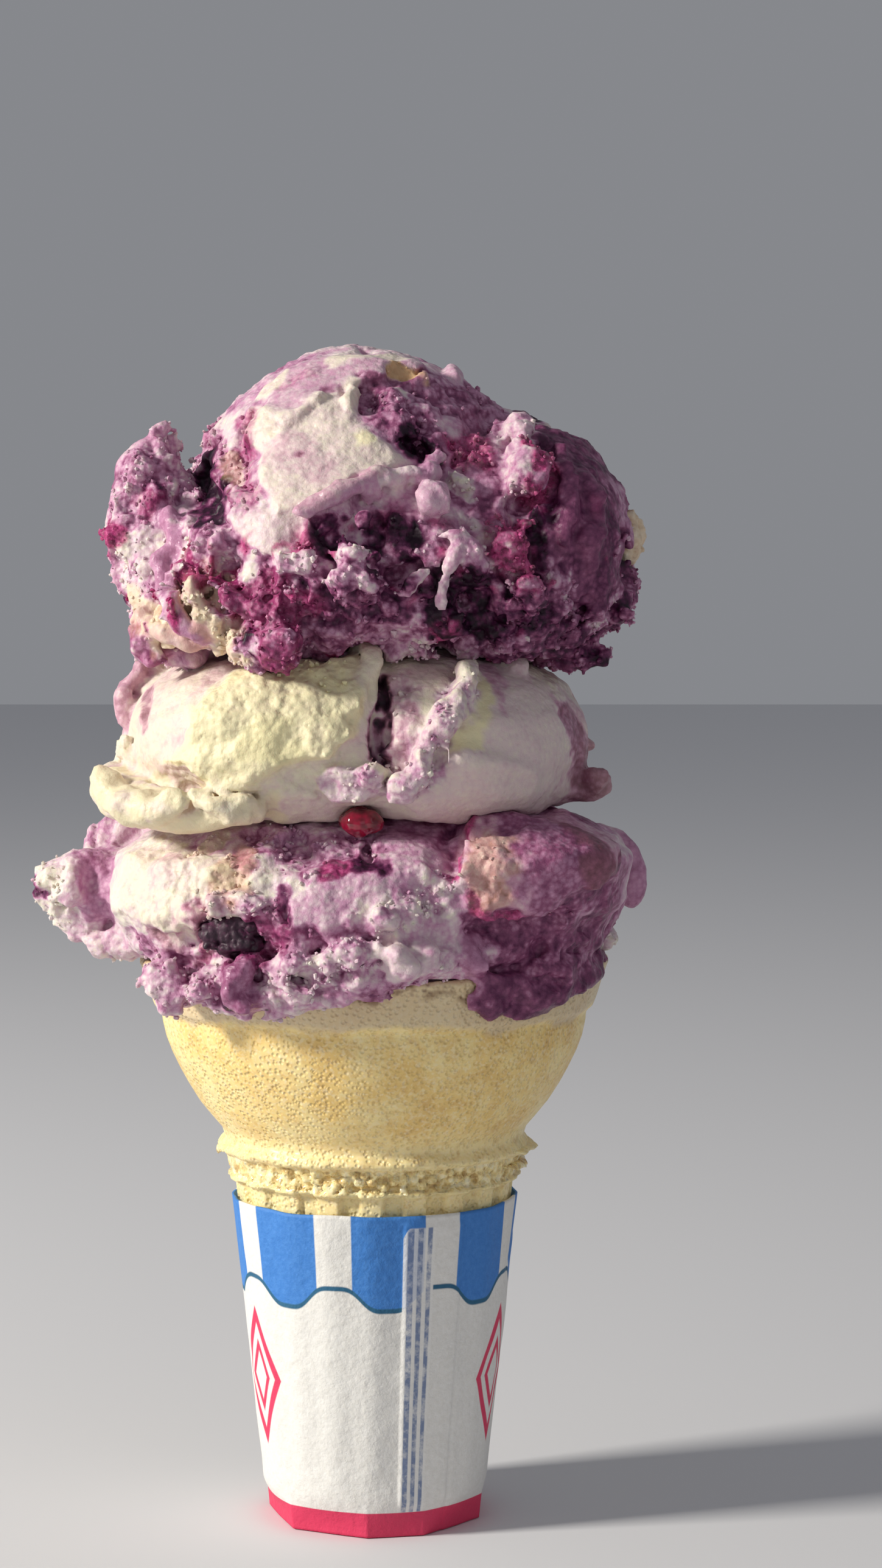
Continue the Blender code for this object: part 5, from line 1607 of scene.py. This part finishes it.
def jelly_finish():
    finish, tree, shader, place = new_finish("berry_jelly_red")
    cloudy = noise(tree, place, 1.4, 2.0)
    # The deep red is partly the jelly's own colour and partly painted shade.
    colour = ramp(tree, cloudy, [(0.35, (0.13, 0.002, 0.012)), (0.65, (0.34, 0.006, 0.040))])
    tree.links.new(colour, shader.inputs["Base Color"])
    tree.links.new(bump(tree, cloudy, 0.2, 0.2), shader.inputs["Normal"])
    shader.inputs["Roughness"].default_value = 0.14
    shader.inputs["Subsurface Weight"].default_value = 0.4
    shader.inputs["Subsurface Radius"].default_value = (1.0, 0.1, 0.1)
    shader.inputs["Subsurface Scale"].default_value = 0.002
    shader.inputs["Coat Weight"].default_value = 0.5
    shader.inputs["Coat Roughness"].default_value = 0.06
    return finish


def crust_finish():
    finish, tree, shader, place = new_finish("baked_crust")
    bake = noise(tree, place, 2.2, 4.0, 0.65)
    colour = ramp(tree, bake, [(0.32, (0.80, 0.70, 0.55)), (0.52, (0.74, 0.58, 0.41)), (0.72, (0.52, 0.31, 0.20))])
    tree.links.new(colour, shader.inputs["Base Color"])
    normal = bump(tree, cells(tree, place, 0.6), 0.6, 0.25)
    tree.links.new(normal, shader.inputs["Normal"])
    shader.inputs["Roughness"].default_value = 0.75
    return finish


crust = crust_finish()
small_piece("blueberry", "blueberry_skin", berry_finish(), "berry_skin", [(3.4, 1.5, 3), (0.9, 0.7, 4)], BERRY_FOOT)
small_piece("berry_jelly", "jelly_drop", jelly_finish(), "berry_jelly_red", [(3.4, 0.9, 5)])
small_piece("crust_chunk_left", "crust_left", crust, "baked_crust", [(4.4, 2.0, 6), (1.2, 0.6, 7)], CRUST_FOOT)
small_piece("crust_chunk_right", "crust_right", crust, "baked_crust", [(2.6, 1.0, 8), (1.1, 0.5, 9)])

# %% [markdown]
# ## Floor and light
# A plain pale floor. A soft lamp stands to the left and a little in front, because that is where the
# light comes from in the photograph, and the rest of the studio only fills the shadows.

# %% Studio
FLOOR_SIZE = 6.0
LAMPS_AIM_AT = Vector((0.0, 0.0, 0.085))


def make_floor():
    bpy.ops.mesh.primitive_plane_add(size=FLOOR_SIZE, location=(0.0, 0.0, 0.0))
    floor = bpy.context.object
    floor.name = "floor"
    finish, _, shader, _ = new_finish("floor_paint")
    shader.inputs["Base Color"].default_value = (0.70, 0.70, 0.72, 1.0)
    shader.inputs["Roughness"].default_value = 0.8
    floor.data.materials.append(finish)


def lamp(name, turn, rise, distance, size, watts, colour):
    """A square soft lamp, its direction given by the angle from the front and the height above level."""
    data = bpy.data.lights.new(name, "AREA")
    data.size = size
    data.energy = watts
    data.color = colour
    obj = bpy.data.objects.new(name, data)
    bpy.context.scene.collection.objects.link(obj)
    a, b = math.radians(turn), math.radians(rise)
    towards = Vector((math.sin(a) * math.cos(b), -math.cos(a) * math.cos(b), math.sin(b)))
    obj.location = LAMPS_AIM_AT + towards * distance
    obj.rotation_euler = towards.to_track_quat("Z", "Y").to_euler()


make_floor()
lamp("key", -71.0, 25.0, 1.1, 0.18, 15.5, (1.0, 0.96, 0.88))
lamp("fill", 40.0, 25.0, 1.4, 1.0, 1.0, (0.90, 0.93, 1.0))
world = bpy.data.worlds.new("studio")
bpy.context.scene.world = world
world.use_nodes = True
world.node_tree.nodes["Background"].inputs["Color"].default_value = (0.80, 0.82, 0.88, 1.0)
world.node_tree.nodes["Background"].inputs["Strength"].default_value = 0.30
bpy.context.scene.view_settings.view_transform = "Standard"
print("studio ready")
